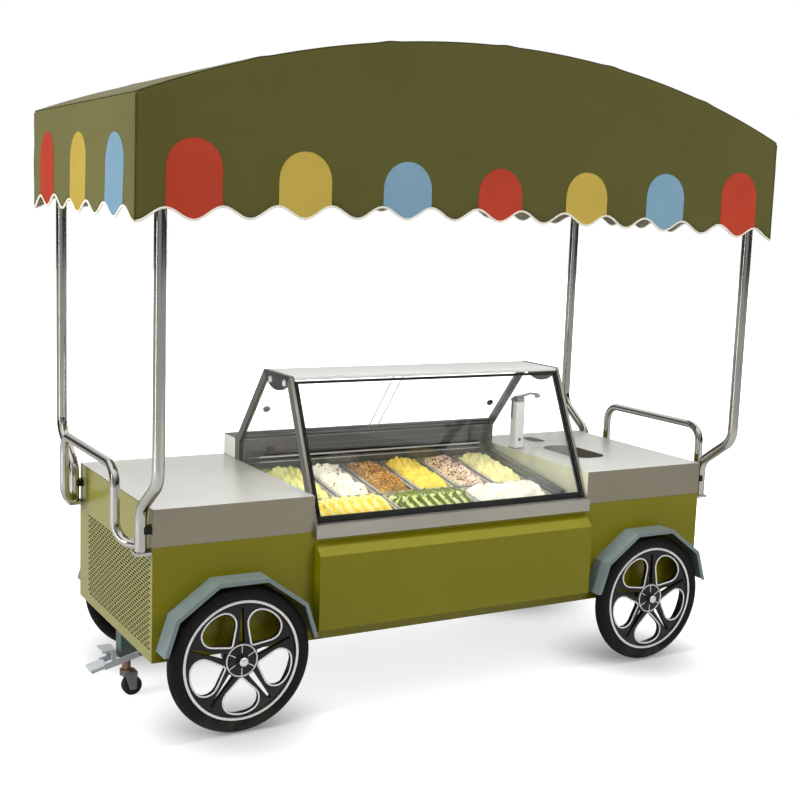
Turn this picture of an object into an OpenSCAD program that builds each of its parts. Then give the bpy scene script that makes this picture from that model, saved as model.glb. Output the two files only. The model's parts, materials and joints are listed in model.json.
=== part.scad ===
// Ice cream push cart: a counter body on four spoked wheels with a tilted gelato
// display, a sink, push handles and an arched canopy on four bent posts.
// Millimetres. +X runs along the cart, -Y is the customers' side, the ground is Z = 0.

/* [Body] */
// Length of the body over its end panels
body_length = 2400; // [2380:10:2460]
// Depth of the body over its front and rear panels
body_depth = 850; // [820:10:900]
// Height of the counter top above the ground
counter_height = 795; // [780:5:840]
// Height of the steel band under the counter's edge
band_height = 130; // [100:5:140]
// Height of the panels' lower edge above the ground
body_clearance = 267; // [262:1:285]
// Thickness of panels and counters
sheet = 3; // [2:0.5:4]
// Side of the square chassis tube
chassis_tube = 40; // [30:2:50]
// Distance between the two chassis rails
rail_spacing = 560; // [480:10:620]

/* [Front panel] */
// How far the bulging front panel's ends lie inside the display's side frames
bulge_inset = 4; // [0:1:30]
// How far the front panel stands out
bulge_depth = 50; // [30:2:70]
// Height of the front panel's upper edge
bulge_top = 628; // [600:2:636]
// Height where the upper slope meets the face
bulge_face_top = 585; // [540:5:595]
// Height where the face meets the lower slope
bulge_face_bottom = 314; // [300:2:340]

/* [End panel slots] */
// Columns of slots in the left end panel
slot_columns = 14; // [8:1:18]
// Rows of slots
slot_rows = 15; // [8:1:20]
// Length of a slot
slot_length = 34; // [20:1:36]
// Height of a slot
slot_height = 8; // [4:1:10]
// Width of the field of slots
slot_field = 720; // [640:10:740]
// Height of the field of slots
slot_field_height = 300; // [280:10:340]

/* [Wheels] */
// Outside diameter of a tyre
wheel_diameter = 520; // [500:5:528]
// Distance between the axles
wheel_base = 1810; // [1780:10:1820]
// Width of a tyre
tyre_width = 54; // [44:2:60]
// Gap between the panel and a tyre
tyre_standoff = 26; // [20:1:40]
// Diameter of the rim that the tyre sits on
rim_diameter = 426; // [410:2:436]
// Diameter of an axle
axle_diameter = 20; // [16:1:24]
// Spokes of a wheel
spokes = 5; // [4:1:6]
// Thickness of the spoked disc
disc_thickness = 20; // [14:1:26]

/* [Fenders] */
// Gap between a tyre and its fender
fender_gap = 21; // [16:1:30]
// Width of a fender
fender_width = 90; // [84:1:110]
// Depth of the fender's front lip
fender_lip = 12; // [6:1:14]
// Height of the fender's ends above the axle
fender_drop = 50; // [30:5:90]

/* [Caster] */
// Diameter of the jack caster's wheel
caster_diameter = 72; // [60:2:76]
// Distance of the caster from the left end panel
caster_inset = 50; // [44:1:70]
// Lift of the caster
caster_lift = 40; // [30:1:44]

/* [Display] */
// Width over the display's side frames
display_width = 1212; // [1206:2:1240]
// Thickness of a side frame
side_frame = 16; // [12:1:20]
// Depth of a side frame's legs
frame_leg = 35; // [28:1:40]
// Height of the trim's lower edge
trim_bottom = 642; // [638:1:650]
// Height of the trim
trim_height = 50; // [44:1:56]
// Distance of the trim's back from the middle plane
trim_reach = 443; // [436:1:450]
// Height of the side frames' top
frame_top = 1190; // [1150:5:1230]
// Depth of the round plate in a side frame's apex
apex_depth = 66; // [44:2:110]
// Distance of the frames' upper front corner from the middle plane
frame_top_front = 190; // [170:5:210]
// Distance of the frames' upper rear corner behind the middle plane
frame_top_back = 44; // [40:1:60]
// Distance of the frames' rear knee behind the middle plane
knee_back = 305; // [300:1:320]
// Height of the rear knee and of the air duct
knee_height = 880; // [870:5:900]
// Thickness of fixed glass
glass = 6; // [4:1:8]
// Thickness of the top shelf
shelf = 12; // [8:1:16]

/* [Sliding panes] */
// Thickness of a sliding pane
pane = 5; // [4:0.5:5]
// Width that the two panes share
pane_overlap = 50; // [30:5:80]
// Diameter of a finger knob
knob_diameter = 28; // [20:1:36]

/* [Pans] */
// Length of a rear pan over its rim
pan_length = 354; // [340:1:356]
// Depth of a front pan over its rim
front_depth = 165; // [150:1:170]
// Depth of a pan
pan_depth = 110; // [90:5:120]
// Gap between two rear pans
pan_gap = 15; // [8:1:30]
// Gap between the end pans and the well's walls
pan_margin = 15; // [10:1:24]
// Slope of the pans towards the customers
pan_tilt = 8.5; // [6:0.5:10]
// Height of the gelato above the rim
gelato_height = 42; // [20:2:50]

/* [Sink and tap] */
// Length of the sink bowl along the cart
sink_width = 165; // [140:5:180]
// Depth of the sink bowl across the cart
sink_length = 300; // [240:10:320]
// Depth of the sink bowl
sink_depth = 160; // [120:5:170]
// Width of the dipper well along the cart
dipper_width = 73; // [60:1:90]
// Length of the dipper well across the cart
dipper_length = 124; // [100:2:140]
// Depth of the dipper well
dipper_depth = 90; // [60:5:120]
// Side of the square tap column
tap_side = 46; // [40:1:50]
// Height of the tap column
tap_height = 205; // [180:5:230]

/* [Posts and handles] */
// Diameter of a canopy post
post_diameter = 41; // [32:1:42]
// Wall of the bent tubes
tube_wall = 2; // [1.5:0.5:3]
// Distance of the posts' axes from the end panels
post_standoff = 32; // [30:1:40]
// Distance of the posts' lower ends from the middle plane
post_low = 398; // [380:2:404]
// Distance of the posts' upper ends from the middle plane
post_high = 568; // [540:2:572]
// Height where a post leaves the vertical
post_bend_height = 752; // [740:2:780]
// Radius of a post's bends
post_bend = 80; // [60:5:100]
// Slope of a post's crank
post_angle = 55; // [45:1:60]
// Diameter of a push handle's tube
handle_diameter = 34; // [28:1:36]
// Distance of a handle's axis from the end panel
handle_reach = 93; // [90:1:120]
// Distance of a handle's legs from the middle plane
handle_leg = 312; // [290:2:316]
// Height of a handle's top bar
handle_height = 928; // [900:4:960]
// Radius of a handle's bends
handle_bend = 70; // [56:2:72]
// Height of the foot brackets' upper face
foot_height = 652; // [640:2:660]

/* [Canopy] */
// How far the canopy's ends stand out past the posts
canopy_overhang = 94; // [70:2:140]
// Depth of the canopy
canopy_depth = 1204; // [1196:4:1240]
// Height of the hem's lowest points
hem_height = 1738; // [1700:2:1760]
// Height of the eaves at the canopy's ends
eave_height = 2123; // [2080:5:2160]
// Rise of the arch above the eaves
arch_rise = 254; // [200:2:280]
// Thickness of the cover
cover = 4; // [3:0.5:6]
// Scallops along the front
front_scallops = 14; // [10:2:18]
// Scallops along an end
end_scallops = 6; // [4:1:8]
// Depth of a scallop
scallop_depth = 40; // [20:2:44]
// Rise of the hem towards the middle of the front
front_hem_rise = 36; // [0:2:60]
// Rise of the hem towards the middle of an end
end_hem_rise = 18; // [0:2:40]
// How far the hem is drawn up along the back
back_hem_lift = 26; // [0:2:40]
// Side of the canopy's square bows
bow_diameter = 25; // [20:1:28]

/* [Service doors] */
// Width of a rear door
door_width = 570; // [520:5:572]
// Height of a rear door
door_height = 306; // [280:2:310]
// Height of the doors' lower edge
door_bottom = 332; // [330:1:340]

/* [Hidden] */
$fn = 64;

// Clearances: round fits, seats and pieces that pass each other
fit = 0.05;
seat = 0.3;
pass = 2;
// How far a cutting shape runs past a face
over = 1;

// Colours
olive = [0.47, 0.45, 0.07];
canopy_green = [0.33, 0.34, 0.12];
steel = [0.78, 0.77, 0.75];
bright = [0.86, 0.86, 0.86];
dark = [0.12, 0.12, 0.12];
grey = [0.35, 0.36, 0.36];
clear = [0.85, 0.95, 0.95, 0.3];
teal = [0.24, 0.36, 0.36];
slate = [0.50, 0.56, 0.60];

// Faces of the body
end_x = body_length / 2;
end_in = end_x - sheet;
side_y = body_depth / 2;
side_in = side_y - sheet;
counter_under = counter_height - sheet;
band_bottom = counter_height - band_height;

// Margins of the field of slots
slot_low = 44;
slot_edge = 20;

// Wheels and axles
wheel_r = wheel_diameter / 2;
axle_x = wheel_base / 2;
axle_r = axle_diameter / 2;
rim_r = rim_diameter / 2;
tyre_in = side_y + tyre_standoff;
hub_over = 4;
nut_length = 18;
collar_r = axle_r + 6;
wheel_hub = axle_r + 14;
rim_edge = 4;
rim_wall = 14;
rim_land = rim_r - rim_wall - 6;
window_near = 60;
window_share = 0.458;
slot_near = 62;
slot_wide = 11;
slot_narrow = 4;
fender_folds = 10;

// Chassis: the rails lie just above the panels' lower edge
chassis_bottom = max(body_clearance, wheel_r + axle_r) + 5;
chassis_top = chassis_bottom + chassis_tube;
floor_top = chassis_top + sheet;
block_side = 50;
block_y = side_in - block_side / 2;
caster_x = -(end_x - caster_inset);
bay_x = 300;

// Jack caster: a stem slides in a square tube and carries a trailing fork
stem_r = 16;
jack_side = 60;
jack_bottom = 150;
jack_plate = 6;
jack_flange = 2 * (caster_inset - sheet - pass);
stem_bottom = 92;
flange_r = 24;
flange = 8;
swivel_r = 6;
crown = 13;
crown_bottom = stem_bottom - seat - crown;
caster_r = caster_diameter / 2;
caster_width = 34;
trail = 20;
cheek = 4;
caster_axle = 5;
pedal_x = 42;
pedal_z = 165;
pedal_angle = 14.5;
pedal_length = 188;
pedal_arm = 6;

// Display: side frames stand between the counters and the cold well
frame_out = display_width / 2;
frame_in = frame_out - side_frame;
bulge_x = frame_out - bulge_inset;
trim_top = trim_bottom + trim_height;
toe_height = 13;
shelf_top = frame_top - 2;
shelf_bottom = shelf_top - shelf;
box_reach = trim_reach - 35;
frame_outline = [
    [-trim_reach, trim_bottom], [knee_back, trim_bottom], [knee_back, knee_height],
    [frame_top_back, frame_top], [-frame_top_front, frame_top], [-trim_reach, trim_bottom + toe_height]
];
apex_half = (frame_top_back + frame_top_front) / 2;
apex_rise = (apex_half * apex_half - apex_depth * apex_depth) / (2 * apex_depth);
apex_centre = [(frame_top_back - frame_top_front) / 2, frame_top + apex_rise];
apex_r = apex_rise + apex_depth;

// Front and rear slopes of the side frames
front_run = (trim_reach - frame_top_front) / (frame_top - trim_bottom - toe_height);
rear_slope = [frame_top_back - knee_back, frame_top - knee_height];
rear_angle = atan2(-rear_slope.x, rear_slope.y);
// The side frames' sides with the front slope run on to the bottom
frame_sides = [
    [-trim_reach - toe_height * front_run, trim_bottom], [knee_back, trim_bottom], [knee_back, knee_height],
    [frame_top_back, frame_top], [-frame_top_front, frame_top]
];

// Sliding panes, in the rear slope's own frame: along it from the knee, and inwards from its face
track_skin = 3;
groove_gap = 0.4;
outer_pane = 8;
inner_pane = outer_pane + pane + track_skin;
track_depth = inner_pane + pane + 2 * track_skin;
track_top = 38;
groove_floor = 28;
upper_track = norm(rear_slope) - 39;
upper_groove = norm(rear_slope) - 17;
pane_reach = frame_in - 4;
pane_foot = groove_floor + seat;
pane_head = upper_groove - 4;
knob_along = 170;
knob_inset = 62;
knob_height = 10;

// Pans: the deck's own frame has its origin at the rear rim of the rear row
deck_back = knee_back - 77;
deck_height = trim_bottom + 115;
deck_sheet = 3;
rear_pans = 6;
pan_sheet = 1.5;
pan_rim = 8;
row_gap = 12;
well_wall = 35;
well_floor = 30;
well_front = (deck_back + box_reach - 5) / cos(pan_tilt);
well_back = 14;
pan_pitch = 2 * (frame_in - well_wall - pan_margin) / rear_pans;
rear_width = pan_pitch - pan_gap;
front_pitch = 2 * pan_pitch;
front_length = front_pitch - 3 * pass;
front_row = pan_length + row_gap;
duct_bottom = deck_height + 5;
duct_front = deck_back + 12;

// Sink and tap places on the right counter
sink_inset = 139;
sink_x = frame_out + sink_inset;
sink_back = 115;
dipper_inset = 191;
dipper_x = frame_out + dipper_inset;
dipper_front = 208;
dipper_drain = 30;
basin_wall = 2;
basin_flange = 14;
drain_r = 18;
tap_inset = 37;
tap_x = frame_out + tap_inset;
tap_y = 132;
tap_top = counter_height + tap_height;
head_height = 18;
spout_half = 7;
lever_x = tap_x - tap_side / 2 - 8;
lever_length = 80;
lever_r = 3.5;
eye_r = 7;
eye_width = 8;
lever_pin = 3;
pin_head = 1.2;
tank_top = counter_under - sink_depth - 44;

// Posts, handles and canopy
post_x = end_x + post_standoff;
post_r = post_diameter / 2;
handle_x = end_x + handle_reach;
handle_r = handle_diameter / 2;
foot_plate = 12;
foot_side = 48;
clamp_height = 24;
clamp_gap = 60;
clamp_top = foot_height + clamp_gap + clamp_height;
handle_low = foot_height + handle_r + 4;
canopy_x = post_x + canopy_overhang;
canopy_y = canopy_depth / 2;
arch_r = (canopy_x * canopy_x + arch_rise * arch_rise) / (2 * arch_rise);
arch_centre = eave_height + arch_rise - arch_r;
bow_r = bow_diameter / 2;
bow_arc = arch_r - cover - bow_r - seat;
bow_x = canopy_x - cover - bow_r - 10;
bow_end = asin(bow_x / bow_arc);
rail_x = bow_x - bow_diameter;
purlin_share = 0.366;
purlin_gap = purlin_share * rail_x;
purlin_r = bow_r - 2;
socket_r = post_r + 4;
socket_length = 80;
socket_top = arch_centre + sqrt(bow_arc * bow_arc - post_x * post_x);
post_top = socket_top - 26;

// Doors and hinges
door_mid = 10;
door_gap = 2;
hinge_x = door_mid + door_width + door_gap / 2;
hinge_pin = 4;
knuckle_r = 7.5;
hinge_y = side_y + knuckle_r + 1;
knuckle = 20;
door_knuckle = 40;
leaf = 25;
leaf_sheet = 2.5;
hinge_inset = 40;
hinge_gap = 0.5;

// Condensing unit behind the slots
fan_rise = 150;
fan_z = floor_top + fan_rise;
fan_r = 120;
fan_inset = 110;
fan_x = -end_in + fan_inset;
fan_hub = 24;
fan_shaft = 5;
blades = 5;

// A vector of length one
function unit(v) = v / norm(v);

// Point where the line through p along d meets the line through q along e
function meet(p, d, q, e) = p + d * ((q - p).x * e.y - (q - p).y * e.x) / (d.x * e.y - d.y * e.x);

// A counter-clockwise outline drawn in by t
function inset(pts, t) = [
    for (i = [0:len(pts) - 1])
        let (
            p = pts[i],
            d = unit(p - pts[(i + len(pts) - 1) % len(pts)]),
            e = unit(pts[(i + 1) % len(pts)] - p)
        )
        meet(p + t * [-d.y, d.x], d, p + t * [-e.y, e.x], e)
];

// An outline with its corners rounded, one radius for each corner
function rounded(pts, radii, steps = 5) = [
    for (i = [0:len(pts) - 1])
        let (
            p = pts[i],
            u = unit(pts[(i + len(pts) - 1) % len(pts)] - p),
            v = unit(pts[(i + 1) % len(pts)] - p),
            half = acos(u * v) / 2,
            c = p + unit(u + v) * radii[i] / sin(half),
            s = p + u * radii[i] / tan(half) - c,
            e = p + v * radii[i] / tan(half) - c,
            from = atan2(s.y, s.x),
            turn = (atan2(e.y, e.x) - from + 360 + 180) % 360 - 180
        )
        for (k = [0:steps])
            c + radii[i] * [cos(from + turn * k / steps), sin(from + turn * k / steps)]
];

// Height of the wavy hem along an edge of the given length; it is lowest at the corners
function hem(at, length, count, rise) =
    hem_height
    + rise * (1 - pow(2 * at / length, 2))
    + scallop_depth * (1 - cos(360 * count * (at / length + 0.5))) / 2;

// How far an end's hem is drawn up at y: not at all in front of its middle, fully well behind it
function drawn_up(y) = back_hem_lift * (1 - cos(180 * min(1, max(0, 3 * y / canopy_depth)))) / 2;

// Points below the hem, for cutting it; lifts are added to the hem from one end to the other
function below_hem(length, count, rise, lifts) = [
    [-length / 2 - over, hem_height - scallop_depth],
    [length / 2 + over, hem_height - scallop_depth],
    [length / 2 + over, hem_height + scallop_depth],
    for (k = [count * 8:-1:0])
        let (at = length * (k / (count * 8) - 0.5))
        [at, hem(at, length, count, rise) + lifts[k]],
    [-length / 2 - over, hem_height + scallop_depth]
];

// A box between two opposite corners
module block(low, high) {
    translate(low)
        cube(high - low);
}

// Copies at both ends of the cart
module both_ends() {
    children();
    mirror([1, 0, 0])
        children();
}

// Copies on both sides of the cart
module both_sides() {
    children();
    mirror([0, 1, 0])
        children();
}

// An outline in Y and Z, extruded along X from low to high
module along_x(low, high) {
    translate([low, 0, 0])
        rotate([90, 0, 90])
            linear_extrude(high - low)
                children();
}

// An outline in X and Z, extruded along Y from low to high
module along_y(low, high) {
    translate([0, high, 0])
        rotate([90, 0, 0])
            linear_extrude(high - low)
                children();
}

// A round bar along Y
module bar_y(r, low, high) {
    translate([0, low, 0])
        rotate([-90, 0, 0])
            cylinder(r = r, h = high - low);
}

// Section of a round tube
module tube_section(d) {
    difference() {
        circle(d = d);
        circle(d = d - 2 * tube_wall);
    }
}

// A bent tube that starts along +Z; each step is [straight length, turn, heading of the turn]
module bent_tube(d, bend, steps, i = 0) {
    if (i < len(steps)) {
        linear_extrude(steps[i][0])
            tube_section(d);
        translate([0, 0, steps[i][0]])
            rotate(steps[i][2]) {
                if (steps[i][1] > 0)
                    mirror([1, 0, 0])
                        translate([-bend, 0, 0])
                            rotate([90, 0, 0])
                                rotate_extrude(angle = steps[i][1])
                                    translate([bend, 0])
                                        tube_section(d);
                translate([bend, 0, 0])
                    rotate([0, steps[i][1], 0])
                        translate([-bend, 0, 0])
                            rotate(-steps[i][2])
                                bent_tube(d, bend, steps, i + 1);
            }
    }
}

// The chassis rails and cross tubes drawn in by t, with their ends run on by past
module chassis_tubes(t, past) {
    side = chassis_tube - 2 * t;
    both_sides()
        translate([0, rail_spacing / 2, chassis_bottom + chassis_tube / 2])
            cube([2 * (end_in + past), side, side], center = true);
    for (x = [caster_x, -axle_x, -bay_x, bay_x, axle_x, -caster_x])
        translate([x, 0, chassis_bottom + chassis_tube / 2])
            cube([side, 2 * (side_in + past), side], center = true);
}

module chassis_frame() {
    color(teal)
        difference() {
            union() {
                chassis_tubes(0, 0);
                both_ends()
                    both_sides()
                        block([axle_x - block_side / 2, block_y - block_side / 2, wheel_r - block_side / 2],
                              [axle_x + block_side / 2, block_y + block_side / 2, chassis_bottom + over]);
            }
            chassis_tubes(tube_wall, over);
            both_ends()
                translate([axle_x, 0, wheel_r])
                    bar_y(axle_r + fit, -side_y, side_y);
            translate([caster_x, 0, chassis_bottom - over])
                cylinder(r = stem_r + pass, h = chassis_tube + 2 * over);
        }
}

module axles() {
    hub_out = tyre_in + tyre_width - hub_over;
    hub_in = tyre_in - hub_over;
    color(bright)
        both_ends()
            translate([axle_x, 0, wheel_r])
                both_sides() {
                    bar_y(axle_r, 0, hub_out + nut_length);
                    bar_y(collar_r, side_y + pass, hub_in - seat);
                    translate([0, hub_out + seat, 0])
                        rotate([-90, 0, 0])
                            cylinder(r = collar_r, h = nut_length - seat, $fn = 6);
                }
}

// Places a wheel: its own +Z points out from the body
module at_wheel(x, side) {
    mirror([0, side > 0 ? 1 : 0, 0])
        translate([x, -tyre_in, wheel_r])
            rotate([90, 0, 0])
                children();
}

module tyre(x, side) {
    crown = tyre_width / 2;
    bead = tyre_width - 2 * rim_edge;
    color(dark)
        at_wheel(x, side)
            rotate_extrude()
                difference() {
                    union() {
                        translate([wheel_r - crown, crown])
                            circle(crown);
                        translate([rim_r + fit, (tyre_width - bead) / 2])
                            square([wheel_r - crown - rim_r, bead]);
                    }
                    square([rim_r + fit, tyre_width]);
                }
}

// Window between two spokes of a wheel, pointing along +X
module wheel_window() {
    spread = window_share * 360 / spokes;
    tip = rim_land * [cos(spread), sin(spread)];
    point_r = 12;
    side_r = 44;
    outer_r = 100;
    polygon(rounded(
        [[window_near, 0], [tip.x, -tip.y], [rim_land + rim_edge, 0], tip], [point_r, side_r, outer_r, side_r]
    ));
}

// Slot along the middle of a spoke, pointing along +X
module spoke_slot() {
    far = rim_land - 6;
    polygon([[slot_near, -slot_wide], [far, -slot_narrow], [far, slot_narrow], [slot_near, slot_wide]]);
}

module wheel(x, side) {
    barrel = tyre_width - 2 * rim_edge;
    color(dark)
        at_wheel(x, side)
            difference() {
                union() {
                    translate([0, 0, rim_edge])
                        rotate_extrude()
                            translate([rim_r - rim_wall, 0])
                                square([rim_wall, barrel]);
                    translate([0, 0, barrel - disc_thickness])
                        linear_extrude(disc_thickness)
                            difference() {
                                circle(rim_r - rim_wall / 2);
                                for (k = [0:spokes - 1])
                                    rotate(k * 360 / spokes - 90) {
                                        wheel_window();
                                        rotate(180 / spokes)
                                            spoke_slot();
                                    }
                            }
                    translate([0, 0, -hub_over])
                        cylinder(r = wheel_hub, h = tyre_width);
                }
                translate([0, 0, -tyre_width])
                    cylinder(r = axle_r + fit, h = 3 * tyre_width);
            }
}

// A fender follows the wheel as five folds of a ten-sided strip, open below
module fender() {
    inner = wheel_r + fender_gap;
    to_corner = 1 / cos(180 / fender_folds);
    difference() {
        cylinder(r = (inner + sheet) * to_corner, h = fender_width, $fn = fender_folds);
        translate([0, 0, -over])
            cylinder(r = inner * to_corner, h = fender_width - sheet + over, $fn = fender_folds);
        cylinder(r = (inner - fender_lip) * to_corner, h = fender_width + over, $fn = fender_folds);
        translate([-2 * inner, fender_drop - 4 * inner, -over])
            cube([4 * inner, 4 * inner, fender_width + 2 * over]);
    }
}

module fenders() {
    color(slate)
        both_ends()
            both_sides()
                translate([axle_x, -side_y, wheel_r])
                    rotate([90, 0, 0])
                        fender();
}

module caster_tube() {
    lug = 26;
    lug_past = 14;
    color(teal)
        translate([caster_x, 0, 0])
            difference() {
                union() {
                    block([-jack_side / 2, -jack_side / 2, jack_bottom],
                          [jack_side / 2, jack_side / 2, chassis_bottom]);
                    translate([0, 0, chassis_bottom - jack_plate / 2])
                        cube([jack_flange, jack_flange, jack_plate], center = true);
                    block([0, -lug, jack_bottom], [pedal_x + lug_past, lug, pedal_z + lug_past]);
                }
                translate([0, 0, jack_bottom - over])
                    cylinder(r = stem_r + fit, h = chassis_bottom);
                translate([pedal_x, 0, pedal_z])
                    bar_y(caster_axle + fit, -jack_side, jack_side);
            }
}

module caster_stem() {
    head = 4;
    color([0.72, 0.45, 0.33])
        translate([caster_x, 0, 0])
            union() {
                translate([0, 0, stem_bottom])
                    cylinder(r = stem_r, h = chassis_top - caster_lift - head - stem_bottom);
                translate([0, 0, stem_bottom])
                    cylinder(r = flange_r, h = flange);
                translate([0, 0, crown_bottom - head])
                    cylinder(r = swivel_r, h = crown + flange);
                translate([0, 0, crown_bottom - head])
                    cylinder(r = swivel_r + head, h = head - seat);
            }
}

// The pedal's own frame has its origin on the pivot and +X along the arms
module caster_pedal() {
    arm_low = jack_side / 2 + 1;
    arm_high = arm_low + pedal_arm;
    arm_half = 11;
    arm_past = 12;
    tread = 62;
    tread_half = 6;
    short_near = jack_side / 2 + pedal_x + 20;
    short_far = short_near + 50;
    short_leg = 16;
    short_top = -26;
    short_sheet = 8;
    color(slate)
        translate([caster_x + pedal_x, 0, pedal_z])
            rotate([0, 180 - pedal_angle, 0]) {
                both_sides()
                    block([-arm_past, arm_low, -arm_half],
                          [pedal_length - tread + arm_past, arm_high, arm_half]);
                block([pedal_length - tread, -arm_high, -tread_half], [pedal_length, arm_high, tread_half]);
                rotate([0, pedal_angle, 0]) {
                    block([short_near, -arm_high, short_top], [short_far, arm_high, short_top + short_sheet]);
                    both_sides()
                        block([short_near, arm_low, short_top],
                              [short_near + short_leg, arm_high, -short_top]);
                }
                bar_y(caster_axle, -arm_high, arm_high);
            }
}

module caster_fork() {
    inner = caster_width / 2 + 3;
    fork_back = trail + 16;
    fork_front = 14;
    fork_foot = 12;
    color(grey)
        translate([caster_x, 0, 0])
            difference() {
                union() {
                    translate([0, 0, crown_bottom])
                        cylinder(r = inner + cheek, h = crown);
                    block([0, -inner - cheek, crown_bottom],
                          [fork_back, inner + cheek, crown_bottom + crown]);
                    both_sides()
                        along_y(inner, inner + cheek)
                            polygon([
                                [-fork_front, crown_bottom + crown],
                                [trail - fork_foot, caster_r - fork_foot],
                                [trail + fork_foot, caster_r - fork_foot], [fork_back, crown_bottom + crown]
                            ]);
                    translate([trail, 0, caster_r])
                        bar_y(caster_axle, -inner - cheek, inner + cheek);
                }
                translate([0, 0, crown_bottom - over])
                    cylinder(r = swivel_r + fit, h = crown + 2 * over);
            }
}

module caster_wheel() {
    color(dark)
        translate([caster_x + trail, 0, caster_r])
            difference() {
                bar_y(caster_r, -caster_width / 2, caster_width / 2);
                bar_y(caster_axle + fit, -caster_width, caster_width);
            }
}

module floor_pan() {
    color(grey)
        block([-end_in, -side_in, chassis_top], [end_in, side_in, floor_top]);
}

// Notch in a panel's lower edge where an axle passes
module axle_notch() {
    translate([axle_x, wheel_r])
        circle(axle_r + pass);
}

module front_panels() {
    color(olive)
        both_ends()
            along_y(-side_y, -side_in)
                difference() {
                    translate([bulge_x, body_clearance])
                        square([end_x - bulge_x, band_bottom - body_clearance]);
                    translate([0, trim_bottom])
                        square([frame_out, band_height]);
                    axle_notch();
                }
}

module front_bulge_panel() {
    face = side_y + bulge_depth;
    outline = [
        [-face, bulge_face_bottom], [-side_y, body_clearance], [-side_in, body_clearance],
        [-side_in, bulge_top], [-side_y, bulge_top], [-face, bulge_face_top]
    ];
    hollow = [
        [-face, bulge_face_bottom], [-side_y, body_clearance], [0, body_clearance],
        [0, bulge_top], [-side_y, bulge_top], [-face, bulge_face_top]
    ];
    color(olive)
        union() {
            difference() {
                along_x(-bulge_x, bulge_x)
                    polygon(outline);
                along_x(-bulge_x + sheet, bulge_x - sheet)
                    polygon(inset(hollow, sheet));
            }
            block([-bulge_x, -side_y, bulge_top - over], [bulge_x, -side_in, trim_bottom]);
        }
}

// Staggered slots, in the end panel's Y and Z
module slot_field_2d() {
    column = slot_field / slot_columns;
    row = slot_field_height / slot_rows;
    low = body_clearance + slot_low;
    for (r = [0:slot_rows - 1])
        for (c = [0:slot_columns - 1])
            translate([-side_in + slot_edge + (c + (r % 2) / 2) * column, low + r * row])
                square([slot_length, slot_height]);
}

module end_panel_left() {
    color(olive)
        along_x(-end_x, -end_in)
            difference() {
                translate([-side_in, body_clearance])
                    square([2 * side_in, counter_under - body_clearance]);
                slot_field_2d();
            }
}

module end_panel_right() {
    color(olive)
        along_x(end_in, end_x)
            translate([-side_in, body_clearance])
                square([2 * side_in, counter_under - body_clearance]);
}

// A hinge's knuckles on the panel or on the door, with their leaves
module hinge_half(low, height, toward) {
    difference() {
        union() {
            translate([hinge_x, hinge_y, low])
                cylinder(r = knuckle_r, h = height);
            if (toward > 0)
                block([hinge_x + hinge_gap, side_y, low],
                      [hinge_x + leaf, side_y + leaf_sheet, low + height]);
            else
                block([hinge_x - leaf, side_y, low],
                      [hinge_x - hinge_gap, side_y + leaf_sheet, low + height]);
        }
        translate([hinge_x, hinge_y, low - over])
            cylinder(r = hinge_pin + fit, h = height + 2 * over);
    }
}

// Lower ends of the two hinges of a door
hinge_lows = [
    door_bottom + hinge_inset,
    door_bottom + door_height - hinge_inset - 2 * knuckle - door_knuckle
];

module rear_panel() {
    color(olive) {
        along_y(side_in, side_y)
            difference() {
                union() {
                    translate([-end_x, body_clearance])
                        square([2 * end_x, band_bottom - body_clearance]);
                    translate([-frame_out, body_clearance])
                        square([2 * frame_out, duct_bottom - body_clearance]);
                }
                both_ends() {
                    translate([door_mid - door_gap, door_bottom - door_gap])
                        square([door_width + 2 * door_gap, door_height + 2 * door_gap]);
                    axle_notch();
                }
            }
        both_ends()
            for (low = hinge_lows) {
                hinge_half(low, knuckle - hinge_gap, 1);
                hinge_half(low + knuckle + door_knuckle + hinge_gap, knuckle - hinge_gap, 1);
            }
    }
}

module rear_door() {
    pull = 20;
    pull_height = 120;
    middle = door_bottom + door_height / 2;
    block([door_mid, side_in, door_bottom], [door_mid + door_width, side_y, door_bottom + door_height]);
    block([door_mid, side_y - over, middle - pull_height / 2],
          [door_mid + sheet, side_y + pull, middle + pull_height / 2]);
    for (low = hinge_lows)
        hinge_half(low + knuckle, door_knuckle, -1);
}

module rear_door_left() {
    color(olive)
        mirror([1, 0, 0])
            rear_door();
}

module rear_door_right() {
    color(olive)
        rear_door();
}

module door_hinge_pins() {
    height = 2 * knuckle + door_knuckle;
    color(bright)
        both_ends()
            for (low = hinge_lows)
                translate([hinge_x, hinge_y, low]) {
                    cylinder(r = hinge_pin, h = height + seat);
                    translate([0, 0, height + seat])
                        cylinder(r = hinge_pin + 2, h = hinge_pin);
                }
}

// One counter: top, front and rear bands and the inner flange beside the display
module counter() {
    block([frame_out, -side_y, counter_under], [end_x, side_y, counter_height]);
    both_sides()
        block([frame_out, -side_y, band_bottom], [end_x, -side_in, counter_under + over]);
    block([frame_out, -side_y, band_bottom], [frame_out + sheet, side_y, counter_under + over]);
}

module counter_left() {
    color(steel)
        mirror([1, 0, 0])
            counter();
}

module counter_right() {
    color(steel)
        difference() {
            counter();
            block([sink_x, sink_back - sink_length, counter_under - over],
                  [sink_x + sink_width, sink_back, counter_height + over]);
            block([dipper_x, dipper_front, counter_under - over],
                  [dipper_x + dipper_width, dipper_front + dipper_length, counter_height + over]);
        }
}

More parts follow.
